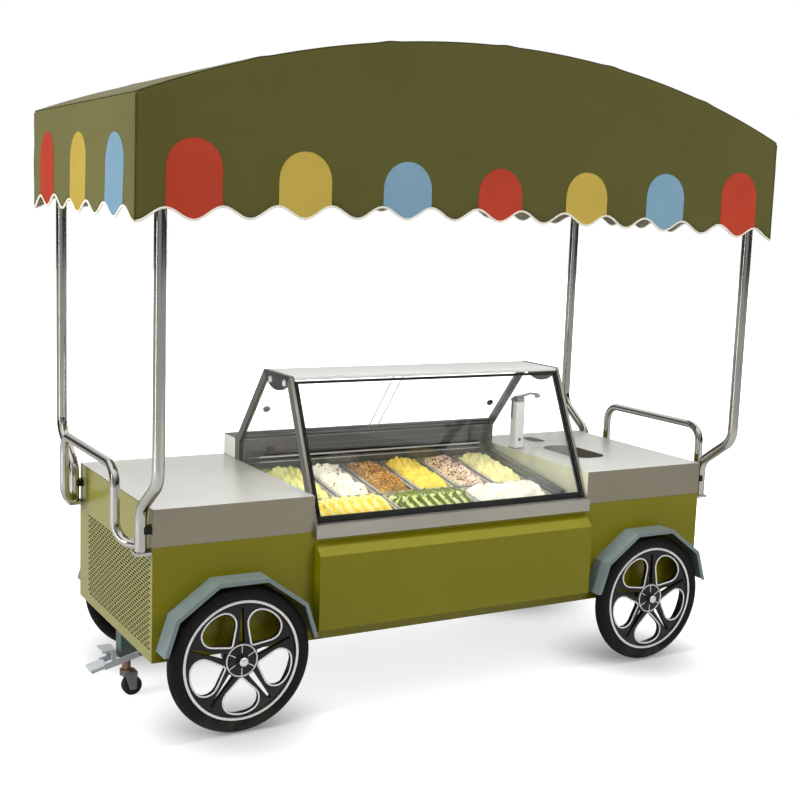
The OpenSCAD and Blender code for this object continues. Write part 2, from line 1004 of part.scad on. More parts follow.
// A bowl hung under the counter by its flange, with a drain
module basin(low, width, length, depth, drain) {
    bottom = counter_under - depth;
    translate([low.x, low.y, 0])
        difference() {
            union() {
                block([-basin_flange, -basin_flange, counter_under - basin_wall],
                      [width + basin_flange, length + basin_flange, counter_under]);
                block([-basin_wall, -basin_wall, bottom - basin_wall],
                      [width + basin_wall, length + basin_wall, counter_under]);
                translate([width / 2, length / 2, bottom - drain])
                    cylinder(r = drain_r, h = drain);
            }
            block([0, 0, bottom], [width, length, counter_under + over]);
            translate([width / 2, length / 2, bottom - drain - over])
                cylinder(r = drain_r - basin_wall, h = drain + 2 * over);
        }
}

module sink_basins() {
    color(steel) {
        basin([sink_x, sink_back - sink_length], sink_width, sink_length, sink_depth,
              counter_under - sink_depth - tank_top);
        basin([dipper_x, dipper_front], dipper_width, dipper_length, dipper_depth, dipper_drain);
    }
}

module tap_column() {
    color([0.93, 0.93, 0.92])
        translate([tap_x, tap_y, counter_height])
            linear_extrude(tap_height)
                polygon(rounded(
                    [for (c = [[-1, -1], [1, -1], [1, 1], [-1, 1]]) c * tap_side / 2], [6, 6, 6, 6]
                ));
}

module tap_spout() {
    half = tap_side / 2 - 3;
    shoulder = lever_x + eye_width / 2 + seat - tap_x;
    pin_start = lever_x - eye_width / 2 - seat - pin_head - tap_x;
    top = head_height;
    color(bright)
        translate([tap_x, tap_y, tap_top])
            union() {
                block([-half, -half, 0], [half, half, top]);
                along_y(-spout_half, spout_half)
                    polygon([
                        [-half, top - over], [half, top - over], [60, top + 10], [88, top + 4],
                        [92, top - 8], [110, top - 6], [114, top + 6], [100, top + 14],
                        [66, top + 19], [half, top + 10], [-half, top + 6]
                    ]);
                translate([pin_start, 0, top / 2])
                    rotate([0, 90, 0]) {
                        cylinder(r = lever_pin, h = -half - pin_start + over);
                        cylinder(r = lever_pin + 2, h = pin_head);
                    }
                translate([shoulder, 0, top / 2])
                    rotate([0, 90, 0])
                        cylinder(r = lever_pin + 2, h = -half - shoulder + over);
            }
}

module tap_lever() {
    color(grey)
        translate([lever_x, tap_y, tap_top + head_height / 2])
            difference() {
                union() {
                    translate([-eye_width / 2, 0, 0])
                        rotate([0, 90, 0])
                            cylinder(r = eye_r, h = eye_width);
                    translate([0, 0, -lever_length])
                        cylinder(r = lever_r, h = lever_length);
                }
                translate([-eye_width, 0, 0])
                    rotate([0, 90, 0])
                        cylinder(r = lever_pin + fit, h = 2 * eye_width);
            }
}

// Places things in the deck's own tilted frame
module on_deck() {
    translate([0, deck_back, deck_height])
        rotate([pan_tilt, 0, 0])
            children();
}

// Middle of a pan's place in the rear row, counted from 0, and in the front row, from -1
function rear_place(k) = [(k - (rear_pans - 1) / 2) * pan_pitch, -pan_length / 2, 0];
function front_place(k) = [k * front_pitch, -front_row - front_depth / 2, 0];

module cold_well() {
    deep = pan_depth + 20;
    color(grey)
        on_deck()
            difference() {
                block([-frame_in, -well_front, -deep - well_floor], [frame_in, well_back, -deck_sheet]);
                block([-frame_in + well_wall, -front_row - front_depth - well_back, -deep],
                      [frame_in - well_wall, 0, 0]);
            }
}

module pan_deck() {
    rims = 2 * [pan_rim, pan_rim];
    color(bright)
        on_deck()
            translate([0, 0, -deck_sheet])
                linear_extrude(deck_sheet)
                    difference() {
                        translate([-frame_in, -well_front])
                            square([2 * frame_in, well_front + well_back]);
                        for (k = [0:rear_pans - 1])
                            translate(rear_place(k))
                                square([rear_width, pan_length] - rims, center = true);
                        for (k = [-1:1])
                            translate(front_place(k))
                                square([front_length, front_depth] - rims, center = true);
                    }
}

// A steel pan filled with gelato, centred on its rim's lower face
module filled_pan(pan_width, pan_length, flavour) {
    body_w = pan_width - 2 * pan_rim - 2 * pass;
    body_l = pan_length - 2 * pan_rim - 2 * pass;
    in_w = body_w - 2 * pan_sheet;
    in_l = body_l - 2 * pan_sheet;
    fill_w = in_w - 2 * seat;
    fill_l = in_l - 2 * seat;
    dome_w = (fill_w * fill_w / 4 + gelato_height * gelato_height) / (2 * gelato_height);
    dome_l = (fill_l * fill_l / 4 + gelato_height * gelato_height) / (2 * gelato_height);
    end_rise = gelato_height / 4;
    dome_middle = gelato_height - dome_w;
    color(bright)
        difference() {
            union() {
                translate([-pan_width / 2, -pan_length / 2, 0])
                    cube([pan_width, pan_length, pan_sheet]);
                translate([-body_w / 2, -body_l / 2, -pan_depth])
                    cube([body_w, body_l, pan_depth]);
            }
            translate([-in_w / 2, -in_l / 2, -pan_depth + pan_sheet])
                cube([in_w, in_l, 2 * pan_depth]);
        }
    color(flavour)
        intersection() {
            translate([-fill_w / 2, -fill_l / 2, -pan_depth + pan_sheet + seat])
                cube([fill_w, fill_l, 2 * pan_depth]);
            union() {
                translate([0, 0, dome_middle])
                    bar_y(dome_w, -pan_length, pan_length);
                block([-pan_width, -pan_length, -2 * pan_depth], [pan_width, pan_length, dome_middle]);
            }
            translate([-pan_width, 0, gelato_height + end_rise - dome_l])
                rotate([0, 90, 0])
                    cylinder(r = dome_l, h = 2 * pan_width);
        }
}

module pan_rear(k, flavour) {
    on_deck()
        translate(rear_place(k))
            filled_pan(rear_width, pan_length, flavour);
}

module pan_front(k, flavour) {
    on_deck()
        translate(front_place(k))
            rotate(90)
                filled_pan(front_depth, front_length, flavour);
}

// The duct lies between the side frames and widens behind them
module rear_duct() {
    grille = 8;
    grille_low = 30;
    grille_pitch = 18;
    grille_end = 70;
    color(grey)
        difference() {
            union() {
                block([-frame_in, duct_front, duct_bottom], [frame_in, side_y, knee_height]);
                block([-frame_out, knee_back, duct_bottom], [frame_out, side_y, knee_height]);
            }
            block([-frame_in + sheet, duct_front + sheet, duct_bottom + sheet],
                  [frame_in - sheet, side_y - sheet, knee_height - sheet]);
            for (z = [duct_bottom + grille_low, duct_bottom + grille_low + grille_pitch])
                block([-frame_in + grille_end, duct_front - over, z],
                      [frame_in - grille_end, duct_front + sheet + over, z + grille]);
        }
}

// A side frame's opening: its sides drawn in by t, less the round plate in its apex
module frame_opening(t, gap) {
    difference() {
        polygon(inset(frame_sides, t));
        translate(apex_centre)
            circle(apex_r + gap);
    }
}

module side_frames() {
    color(grey)
        both_ends()
            along_x(frame_in, frame_out)
                difference() {
                    polygon(frame_outline);
                    frame_opening(frame_leg, 0);
                }
}

module side_glass() {
    middle = (frame_in + frame_out) / 2;
    color(clear)
        both_ends()
            along_x(middle - glass / 2, middle + glass / 2)
                frame_opening(frame_leg + seat, seat);
}

module front_glass() {
    thick = glass * sqrt(1 + front_run * front_run);
    low = -trim_reach + (trim_top - trim_bottom - toe_height) * front_run;
    high = -trim_reach + (shelf_bottom - trim_bottom - toe_height) * front_run;
    color(clear)
        along_x(-frame_in, frame_in)
            polygon([
                [low, trim_top], [low + thick, trim_top],
                [high + thick, shelf_bottom], [high, shelf_bottom]
            ]);
}

module top_shelf() {
    drop = frame_top - shelf_bottom;
    front = -frame_top_front - drop * front_run;
    back = frame_top_back - drop * rear_slope.x / rear_slope.y;
    color(steel)
        block([-frame_in, front, shelf_bottom], [frame_in, back, shelf_top]);
}

module front_trim() {
    front = -trim_reach - sheet;
    color(steel)
        union() {
            block([-frame_out, front, trim_bottom], [frame_out, -trim_reach, trim_top]);
            difference() {
                block([-frame_in, front, trim_bottom], [frame_in, -box_reach, trim_top]);
                block([-frame_in - over, -trim_reach, trim_bottom + sheet],
                      [frame_in + over, -box_reach - sheet, trim_top - sheet]);
            }
        }
}

// Places an outline drawn as (along the rear slope, in from its face)
module on_rear_slope(low, high) {
    along_x(low, high)
        translate([knee_back, knee_height])
            rotate(rear_angle + 90)
                children();
}

module pane_tracks() {
    grooves = [outer_pane, inner_pane];
    color(grey)
        difference() {
            on_rear_slope(-frame_in, frame_in)
                difference() {
                    union() {
                        translate([0, track_skin])
                            square([track_top, track_depth]);
                        translate([upper_track, track_skin])
                            square([2 * track_top, track_depth]);
                    }
                    for (d = grooves) {
                        translate([groove_floor, d - groove_gap])
                            square([track_top, pane + 2 * groove_gap]);
                        translate([upper_track - over, d - groove_gap])
                            square([upper_groove - upper_track + over, pane + 2 * groove_gap]);
                    }
                }
            block([-display_width, 0, 0], [display_width, side_y, knee_height]);
            block([-display_width, -side_y, shelf_bottom], [display_width, side_y, 2 * shelf_bottom]);
        }
}

// One sliding pane and its knob; the knob is on the face away from the other pane
module sliding_pane(depth, low, high, knob_x, knob_low) {
    color(clear)
        on_rear_slope(low, high)
            translate([pane_foot, depth])
                square([pane_head - pane_foot, pane]);
    color(dark)
        translate([knob_x, knee_back, knee_height])
            rotate([rear_angle + 90, 0, 0])
                translate([0, knob_along, knob_low])
                    cylinder(d = knob_diameter, h = knob_height);
}

module rear_pane_left() {
    sliding_pane(outer_pane, -pane_reach, pane_overlap / 2, -pane_reach + knob_inset,
                 outer_pane - knob_height);
}

module rear_pane_right() {
    sliding_pane(inner_pane, -pane_overlap / 2, pane_reach, pane_reach - knob_inset, inner_pane + pane);
}

// A post rises from its foot, cranks outwards and rises again into the canopy's socket
module canopy_posts() {
    rise = 2 * post_bend * sin(post_angle);
    slant = (post_high - post_low - 2 * post_bend * (1 - cos(post_angle))) / sin(post_angle);
    lower = post_bend_height - foot_height;
    upper = post_top - post_bend_height - rise - slant * cos(post_angle);
    color(bright)
        both_ends()
            both_sides()
                translate([post_x, post_low, foot_height])
                    union()
                        bent_tube(post_diameter, post_bend,
                                  [[lower, post_angle, 90], [slant, post_angle, 270], [upper, 0, 0]]);
}

module post_brackets() {
    color(bright)
        both_ends()
            both_sides()
                translate([0, post_low, 0]) {
                    block([end_x, -foot_side / 2, foot_height - foot_plate],
                          [post_x + foot_side / 2, foot_side / 2, foot_height]);
                    difference() {
                        block([end_x, -foot_side / 2, foot_height + clamp_gap],
                              [post_x - post_r / 3, foot_side / 2, clamp_top]);
                        translate([post_x, 0, foot_height])
                            cylinder(r = post_r + fit, h = 2 * clamp_gap);
                    }
                }
}

// A quarter bend from +Z towards +X with a straight end
module elbow(d, bend, length) {
    mirror([1, 0, 0])
        translate([-bend, 0, 0])
            rotate([90, 0, 0])
                rotate_extrude(angle = 90)
                    translate([bend, 0])
                        tube_section(d);
    translate([bend, 0, bend])
        rotate([0, 90, 0])
            linear_extrude(length)
                tube_section(d);
}

// A handle is an arch of tube on two elbows that are fitted round the posts
module push_handles() {
    run = [post_x - handle_x, post_low - handle_leg];
    bar = handle_leg - handle_bend;
    leg = handle_height - handle_low - 2 * handle_bend - fit;
    color(bright)
        both_ends() {
            both_sides()
                translate([handle_x, 0, handle_height])
                    rotate([-90, 0, 0])
                        bent_tube(handle_diameter, handle_bend, [[bar, 90, 90], [leg, 0, 0]]);
            difference() {
                both_sides()
                    translate([handle_x, handle_leg, handle_low + handle_bend])
                        rotate(atan2(run.y, run.x))
                            mirror([0, 0, 1])
                                elbow(handle_diameter, handle_bend, norm(run) - handle_bend);
                both_sides()
                    translate([post_x, post_low, foot_height])
                        cylinder(r = post_r + fit, h = 2 * clamp_gap);
            }
        }
}

// Two square bows under the cover, round cross bars between them and a socket for each post
module canopy_frame() {
    bar_end = post_high - bow_r;
    color(grey)
        difference() {
            union() {
                both_sides()
                    translate([0, post_high, arch_centre])
                        rotate([90, 0, 0])
                            rotate(90 - bow_end)
                                rotate_extrude(angle = 2 * bow_end, $fn = 360)
                                    translate([bow_arc, 0])
                                        square(bow_diameter, center = true);
                for (x = [-rail_x, -2 * purlin_gap, -purlin_gap, 0, purlin_gap, 2 * purlin_gap, rail_x])
                    translate([x, 0, arch_centre + sqrt(bow_arc * bow_arc - x * x)])
                        bar_y(purlin_r, -bar_end, bar_end);
                both_ends()
                    both_sides()
                        translate([post_x, post_high, socket_top - socket_length])
                            cylinder(r = socket_r, h = socket_length);
            }
            both_ends()
                both_sides()
                    translate([post_x, post_high, socket_top - socket_length - over])
                        cylinder(r = post_r + fit, h = socket_length - bow_diameter + over);
        }
}

// End view of the canopy drawn in by t: upright sides under an arch
module canopy_outline(t) {
    intersection() {
        translate([0, arch_centre])
            circle(arch_r - t, $fn = 360);
        translate([-canopy_x + t, hem_height - over])
            square([2 * (canopy_x - t), eave_height + arch_rise]);
    }
}

module canopy() {
    end_steps = end_scallops * 8;
    end_lifts = [for (k = [0:end_steps]) drawn_up(canopy_depth * (k / end_steps - 0.5))];
    color(canopy_green)
        difference() {
            along_y(-canopy_y, canopy_y)
                canopy_outline(0);
            along_y(-canopy_y + cover, canopy_y - cover)
                canopy_outline(cover);
            both_ends()
                along_x(canopy_x - 2 * cover, canopy_x + over)
                    polygon(below_hem(canopy_depth, end_scallops, end_hem_rise, end_lifts));
            for (side = [-1, 1])
                along_y(side * canopy_y - 2 * cover, side * canopy_y + 2 * cover)
                    polygon(below_hem(
                        2 * canopy_x, front_scallops, front_hem_rise,
                        [for (k = [0:front_scallops * 8]) side > 0 ? back_hem_lift : 0]
                    ));
        }
}

module condensing_unit() {
    coil = 50;
    coil_width = 400;
    coil_height = 280;
    edge = 10;
    base = 5;
    base_length = 380;
    base_width = 560;
    motor_r = 40;
    motor_length = 60;
    compressor_r = 90;
    compressor_height = 180;
    cap = 35;
    nut = 6;
    hub_face = fan_x + fan_hub / 2;
    color(grey)
        union() {
            translate([-end_in + 2 * edge, 0, floor_top]) {
                block([0, -base_width / 2, 0], [base_length, base_width / 2, base]);
                block([edge, -coil_width / 2, base - over], [edge + coil, coil_width / 2, coil_height]);
                translate([base_length - compressor_r - edge, 0, base - over]) {
                    cylinder(r = compressor_r, h = compressor_height);
                    cylinder(r = compressor_r / 2, h = compressor_height + cap);
                }
            }
            translate([hub_face, 0, fan_z])
                rotate([0, 90, 0]) {
                    translate([0, 0, -fan_hub - nut])
                        cylinder(r = fan_shaft, h = fan_hub + nut + pass);
                    translate([0, 0, -fan_hub - nut])
                        cylinder(r = fan_shaft + 4, h = nut - seat);
                    translate([0, 0, seat])
                        cylinder(r = motor_r, h = motor_length);
                }
            block([hub_face + motor_length / 2, -motor_r / 2, floor_top + base - over],
                  [hub_face + motor_length, motor_r / 2, fan_z]);
        }
}

module condenser_fan() {
    core_r = 26;
    pitch = 28;
    blade_root = 16;
    blade_width = 36;
    blade_sheet = 2;
    color(bright)
        translate([fan_x, 0, fan_z])
            rotate([0, 90, 0])
                difference() {
                    union() {
                        translate([0, 0, -fan_hub / 2])
                            cylinder(r = core_r, h = fan_hub);
                        for (k = [0:blades - 1])
                            rotate(k * 360 / blades)
                                translate([(fan_r + blade_root) / 2, 0, 0])
                                    rotate([pitch, 0, 0])
                                        cube([fan_r - blade_root, blade_width, blade_sheet], center = true);
                    }
                    translate([0, 0, -fan_hub])
                        cylinder(r = fan_shaft + fit, h = 2 * fan_hub);
                }
}

// Waste water under the sink and fresh water behind it
module water_tanks() {
    length = 280;
    width = 180;
    gap = 40;
    cap_r = 35;
    cap = 30;
    left = sink_x + sink_width / 2 - length / 2;
    front = sink_back - sink_length / 2 - width / 2;
    color([0.90, 0.91, 0.90]) {
        block([left, front, floor_top], [left + length, front + width, tank_top]);
        translate([0, width + gap, 0])
            union() {
                block([left, front, floor_top], [left + length, front + width, tank_top]);
                translate([left + length / 4, front + width / 2, tank_top - over])
                    cylinder(r = cap_r, h = cap);
            }
    }
}

chassis_frame();
axles();
tyre(-axle_x, -1);  // tyre_front_left
tyre(axle_x, -1);  // tyre_front_right
tyre(-axle_x, 1);  // tyre_rear_left
tyre(axle_x, 1);  // tyre_rear_right
wheel(-axle_x, -1);  // wheel_front_left
wheel(axle_x, -1);  // wheel_front_right
wheel(-axle_x, 1);  // wheel_rear_left
wheel(axle_x, 1);  // wheel_rear_right
fenders();
caster_tube();
caster_stem();
caster_pedal();
caster_fork();
caster_wheel();
floor_pan();
front_panels();
front_bulge_panel();
end_panel_left();
end_panel_right();
rear_panel();
rear_door_left();
rear_door_right();
door_hinge_pins();
counter_left();
counter_right();
sink_basins();
tap_column();
tap_spout();
tap_lever();
cold_well();
pan_deck();
rear_duct();
side_frames();
front_glass();
side_glass();
top_shelf();
front_trim();
rear_pane_left();
rear_pane_right();
pane_tracks();
canopy_posts();
post_brackets();
push_handles();
canopy_frame();
canopy();
condensing_unit();
condenser_fan();
water_tanks();
pan_rear(0, [0.95, 0.93, 0.62]);  // pan_rear_1
pan_rear(1, [0.96, 0.95, 0.88]);  // pan_rear_2
pan_rear(2, [0.66, 0.44, 0.22]);  // pan_rear_3
pan_rear(3, [0.97, 0.80, 0.30]);  // pan_rear_4
pan_rear(4, [0.87, 0.77, 0.68]);  // pan_rear_5
pan_rear(5, [0.92, 0.93, 0.66]);  // pan_rear_6
pan_front(-1, [0.97, 0.85, 0.35]);  // pan_front_1
pan_front(0, [0.50, 0.58, 0.30]);  // pan_front_2
pan_front(1, [0.95, 0.95, 0.86]);  // pan_front_3
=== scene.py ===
"""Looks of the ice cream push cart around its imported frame: cloth, gelato, wheels and finishes."""

import json
import logging
import math
from dataclasses import dataclass, replace
from enum import Enum
from itertools import product
from random import Random
from typing import Callable, Iterable, Sequence

import bmesh
import bpy
from mathutils import Matrix, Vector, noise


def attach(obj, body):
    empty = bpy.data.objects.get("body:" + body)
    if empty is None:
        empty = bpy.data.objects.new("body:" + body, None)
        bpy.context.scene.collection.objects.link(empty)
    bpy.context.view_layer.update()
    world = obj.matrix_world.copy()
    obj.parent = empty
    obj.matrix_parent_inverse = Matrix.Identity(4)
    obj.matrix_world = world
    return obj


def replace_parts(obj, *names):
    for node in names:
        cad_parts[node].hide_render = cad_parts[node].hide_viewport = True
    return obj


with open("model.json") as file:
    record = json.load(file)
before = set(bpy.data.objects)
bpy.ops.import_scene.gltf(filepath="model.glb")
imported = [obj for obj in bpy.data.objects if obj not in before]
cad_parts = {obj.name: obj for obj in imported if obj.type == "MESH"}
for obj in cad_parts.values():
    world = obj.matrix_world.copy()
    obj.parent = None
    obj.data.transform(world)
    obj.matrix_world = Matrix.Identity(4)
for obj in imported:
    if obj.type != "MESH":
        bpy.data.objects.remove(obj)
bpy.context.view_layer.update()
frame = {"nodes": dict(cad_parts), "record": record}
LOG = logging.getLogger("push_cart")
MM = 0.001
AXLE_X = 905 * MM
DECK_AT = (0.0, 228 * MM, 757 * MM)
DECK_TILT = 8.5
WELD = 5e-6
FLAT_ANGLE = math.radians(0.5)
EDGE_ANGLE = math.radians(24)
WHITE = (1.0, 1.0, 1.0, 1.0)

Color = tuple[float, float, float, float]
Faces = list[tuple[int, ...]]


def srgb(red: int, green: int, blue: int) -> Color:
    """A display colour, 0 to 255, as a linear colour."""

    def linear(value: int) -> float:
        """One channel, from display to linear."""
        v = value / 255
        return v / 12.92 if v <= 0.04045 else ((v + 0.055) / 1.055) ** 2.4

    return linear(red), linear(green), linear(blue), 1.0


def mm(*points: Sequence[float]) -> list[tuple[float, ...]]:
    """Points given in millimetres, in metres."""
    return [tuple(v * MM for v in p) for p in points]


def span(sign: int, near: float, far: float) -> list[float]:
    """Two places on one side of the middle, the lower one first."""
    return sorted((sign * near, sign * far))


def placed(at: Sequence[float], degrees: float, axis: str = "X") -> Matrix:
    """A turn about an axis, then a move to a point."""
    return Matrix.Translation(at) @ Matrix.Rotation(math.radians(degrees), 4, axis)


class Tree:
    """A node tree that is filled by short calls."""

    def __init__(self, tree: bpy.types.NodeTree, keep: bool = False) -> None:
        """Wraps a tree, and empties it unless its nodes are to be kept."""
        self.tree = tree
        if not keep:
            tree.nodes.clear()

    def add(self, kind: str, feeds: dict | None = None, **settings: object) -> bpy.types.Node:
        """A new node of that kind, with its settings and what feeds its inputs, by name or number."""
        node = self.tree.nodes.new(kind)
        for key, value in settings.items():
            setattr(node, key, value)
        for key, value in (feeds or {}).items():
            self.feed(node.inputs[key], value)
        return node

    def feed(self, socket: bpy.types.NodeSocket, value: object) -> None:
        """Links a socket to a socket, or sets its plain value."""
        if isinstance(value, bpy.types.NodeSocket):
            self.tree.links.new(value, socket)
        else:
            socket.default_value = value

    def math(self, operation: str, *values: object, clamp: bool = False) -> bpy.types.NodeSocket:
        """The result of a Math node on up to three values."""
        feeds = dict(enumerate(values))
        return self.add("ShaderNodeMath", feeds, operation=operation, use_clamp=clamp).outputs[0]

    def mix(self, factor: object, first: object, second: object) -> bpy.types.NodeSocket:
        """A colour between two colours."""
        feeds = {"Factor": factor, 6: first, 7: second}
        return self.add("ShaderNodeMix", feeds, data_type="RGBA").outputs[2]

    def noise(self, vector: object, scale: object, detail: float) -> bpy.types.NodeSocket:
        """A noise value between 0 and 1."""
        feeds = {"Vector": vector, "Scale": scale, "Detail": detail}
        return self.add("ShaderNodeTexNoise", feeds).outputs[0]

    def ramp(self, value: object, low: float, high: float) -> bpy.types.NodeSocket:
        """A value mapped from low..high to 0..1, smoothly and clamped."""
        feeds = {"Value": value, "From Min": low, "From Max": high}
        return self.add("ShaderNodeMapRange", feeds, interpolation_type="SMOOTHSTEP").outputs[0]

    def vector(self, operation: str, *values: object) -> bpy.types.NodeSocket:
        """The result of a Vector Math node: its number where it gives one, else its vector."""
        node = self.add("ShaderNodeVectorMath", dict(enumerate(values)), operation=operation)
        return node.outputs["Value" if operation in ("LENGTH", "DISTANCE", "DOT_PRODUCT") else "Vector"]

    def parts(self, vector: object) -> bpy.types.bpy_prop_collection:
        """The three numbers of a vector."""
        return self.add("ShaderNodeSeparateXYZ", {0: vector}).outputs

    def place(self) -> bpy.types.NodeSocket:
        """The surface point in the piece's own frame, in metres."""
        return self.add("ShaderNodeTexCoord").outputs["Object"]


class Effect(Enum):
    """Effects that several finishes share, each one node group."""

    TONE = "surface_tone"
    BRUSH = "brushed_grain"
    WEAVE = "woven_threads"
    FLECK = "flecks"
    DUST = "road_dust"

    def group(self) -> bpy.types.NodeTree:
        """The effect's node group, built at its first use."""
        return bpy.data.node_groups.get(self.value) or EFFECT_BUILDERS[self](self.value)

    def use(self, tree: Tree, **values: object) -> bpy.types.Node:
        """Places the effect in a material with its own values."""
        return tree.add("ShaderNodeGroup", values, node_tree=self.group())


def new_group(name: str, inputs: dict[str, str], outputs: dict[str, str]) -> tuple[Tree, dict, dict]:
    """An empty node group with named sockets.

    Args:
        name: The group's name.
        inputs: Socket kinds by input name: Float, Color or Vector.
        outputs: Socket kinds by output name.

    Returns:
        The group's tree, its input values and its output sockets, by name.
    """
    group = bpy.data.node_groups.new(name, "ShaderNodeTree")
    for in_out, sockets in (("INPUT", inputs), ("OUTPUT", outputs)):
        for key, kind in sockets.items():
            group.interface.new_socket(key, in_out=in_out, socket_type=f"NodeSocket{kind}")
    tree = Tree(group)
    come, go = tree.add("NodeGroupInput"), tree.add("NodeGroupOutput")
    return tree, {k: come.outputs[k] for k in inputs}, {k: go.inputs[k] for k in outputs}


def build_tone(name: str) -> bpy.types.NodeTree:
    """Uneven colour and gloss: broad patches with a fine grain over them."""
    tree, come, go = new_group(
        name,
        {"Color": "Color", "Shade": "Color", "Scale": "Float", "Amount": "Float",
         "Roughness": "Float", "Spread": "Float"},
        {"Color": "Color", "Roughness": "Float", "Height": "Float"},
    )
    at = tree.place()
    broad = tree.noise(at, come["Scale"], 4.0)
    fine = tree.noise(at, tree.math("MULTIPLY", come["Scale"], 60.0), 2.0)
    patch = tree.math("MULTIPLY", tree.ramp(broad, 0.3, 0.7), come["Amount"])
    tree.feed(go["Color"], tree.mix(patch, come["Color"], come["Shade"]))
    both = tree.math("SUBTRACT", tree.math("ADD", broad, fine), 1.0)
    spread = tree.math("MULTIPLY", both, come["Spread"])
    tree.feed(go["Roughness"], tree.math("ADD", come["Roughness"], spread, clamp=True))
    tree.feed(go["Height"], fine)
    return tree.tree


def build_brush(name: str) -> bpy.types.NodeTree:
    """Fine parallel scratches, stretched along the axis with the lowest value."""
    tree, come, go = new_group(name, {"Stretch": "Vector"}, {"Streak": "Float"})
    scaled = tree.vector("MULTIPLY", tree.place(), come["Stretch"])
    tree.feed(go["Streak"], tree.noise(scaled, 1.0, 2.0))
    return tree.tree


def build_weave(name: str) -> bpy.types.NodeTree:
    """Plain woven threads along the three axes, with uneven yarn."""
    tree, come, go = new_group(name, {"Pitch": "Float"}, {"Height": "Float", "Mask": "Float"})
    at = tree.place()
    turn = tree.math("DIVIDE", 2 * math.pi, come["Pitch"])
    waves = [tree.math("SINE", tree.math("MULTIPLY", axis, turn)) for axis in tree.parts(at)]
    total = tree.math("ADD", tree.math("ADD", waves[0], waves[1]), waves[2])
    yarn = tree.noise(at, 90.0, 2.0)
    tree.feed(go["Height"], tree.math("ADD", tree.math("MULTIPLY", total, 0.2), yarn))
    tree.feed(go["Mask"], tree.ramp(tree.math("ADD", total, yarn), -1.0, 2.0))
    return tree.tree


def build_fleck(name: str) -> bpy.types.NodeTree:
    """Small separate spots of uneven size."""
    tree, come, go = new_group(name, {"Scale": "Float", "Size": "Float"}, {"Mask": "Float"})
    at = tree.place()
    cells = tree.add("ShaderNodeTexVoronoi", {"Vector": at, "Scale": come["Scale"]})
    size = tree.math("MULTIPLY", come["Size"], tree.noise(at, tree.math("MULTIPLY", come["Scale"], 0.6), 1.0))
    edge = tree.math("SUBTRACT", size, cells.outputs["Distance"])
    tree.feed(go["Mask"], tree.ramp(edge, 0.0, 0.08))
    return tree.tree


def build_dust(name: str) -> bpy.types.NodeTree:
    """Dust that thins out from a low height to a high one."""
    tree, come, go = new_group(name, {"Low": "Float", "High": "Float"}, {"Mask": "Float"})
    at = tree.place()
    feeds = {"Value": tree.parts(at)["Z"], "From Min": come["High"], "From Max": come["Low"]}
    fall = tree.add("ShaderNodeMapRange", feeds)
    patches = tree.ramp(tree.noise(at, 14.0, 5.0), 0.35, 0.75)
    tree.feed(go["Mask"], tree.math("MULTIPLY", fall.outputs[0], patches))
    return tree.tree


EFFECT_BUILDERS: dict[Effect, Callable[[str], bpy.types.NodeTree]] = {
    Effect.TONE: build_tone,
    Effect.BRUSH: build_brush,
    Effect.WEAVE: build_weave,
    Effect.FLECK: build_fleck,
    Effect.DUST: build_dust,
}
DUST_COLOR = srgb(150, 142, 124)


class Surface:
    """What finishes share: a material of their name, built at its first use."""

    name: str

    def material(self) -> bpy.types.Material:
        """The finish's material."""
        name = f"finish_{self.name}"
        made = bpy.data.materials.get(name)
        if not made:
            made = bpy.data.materials.new(name)
            made.use_nodes = True
            tree = Tree(made.node_tree)
            shader = tree.add("ShaderNodeBsdfPrincipled")
            tree.add("ShaderNodeOutputMaterial", {"Surface": shader.outputs[0]})
            for key, value in self.feeds(tree).items():
                tree.feed(shader.inputs[key], value)
        return made

    def feeds(self, tree: Tree) -> dict[str, object]:
        """What feeds the shader's inputs, by their names."""
        raise NotImplementedError


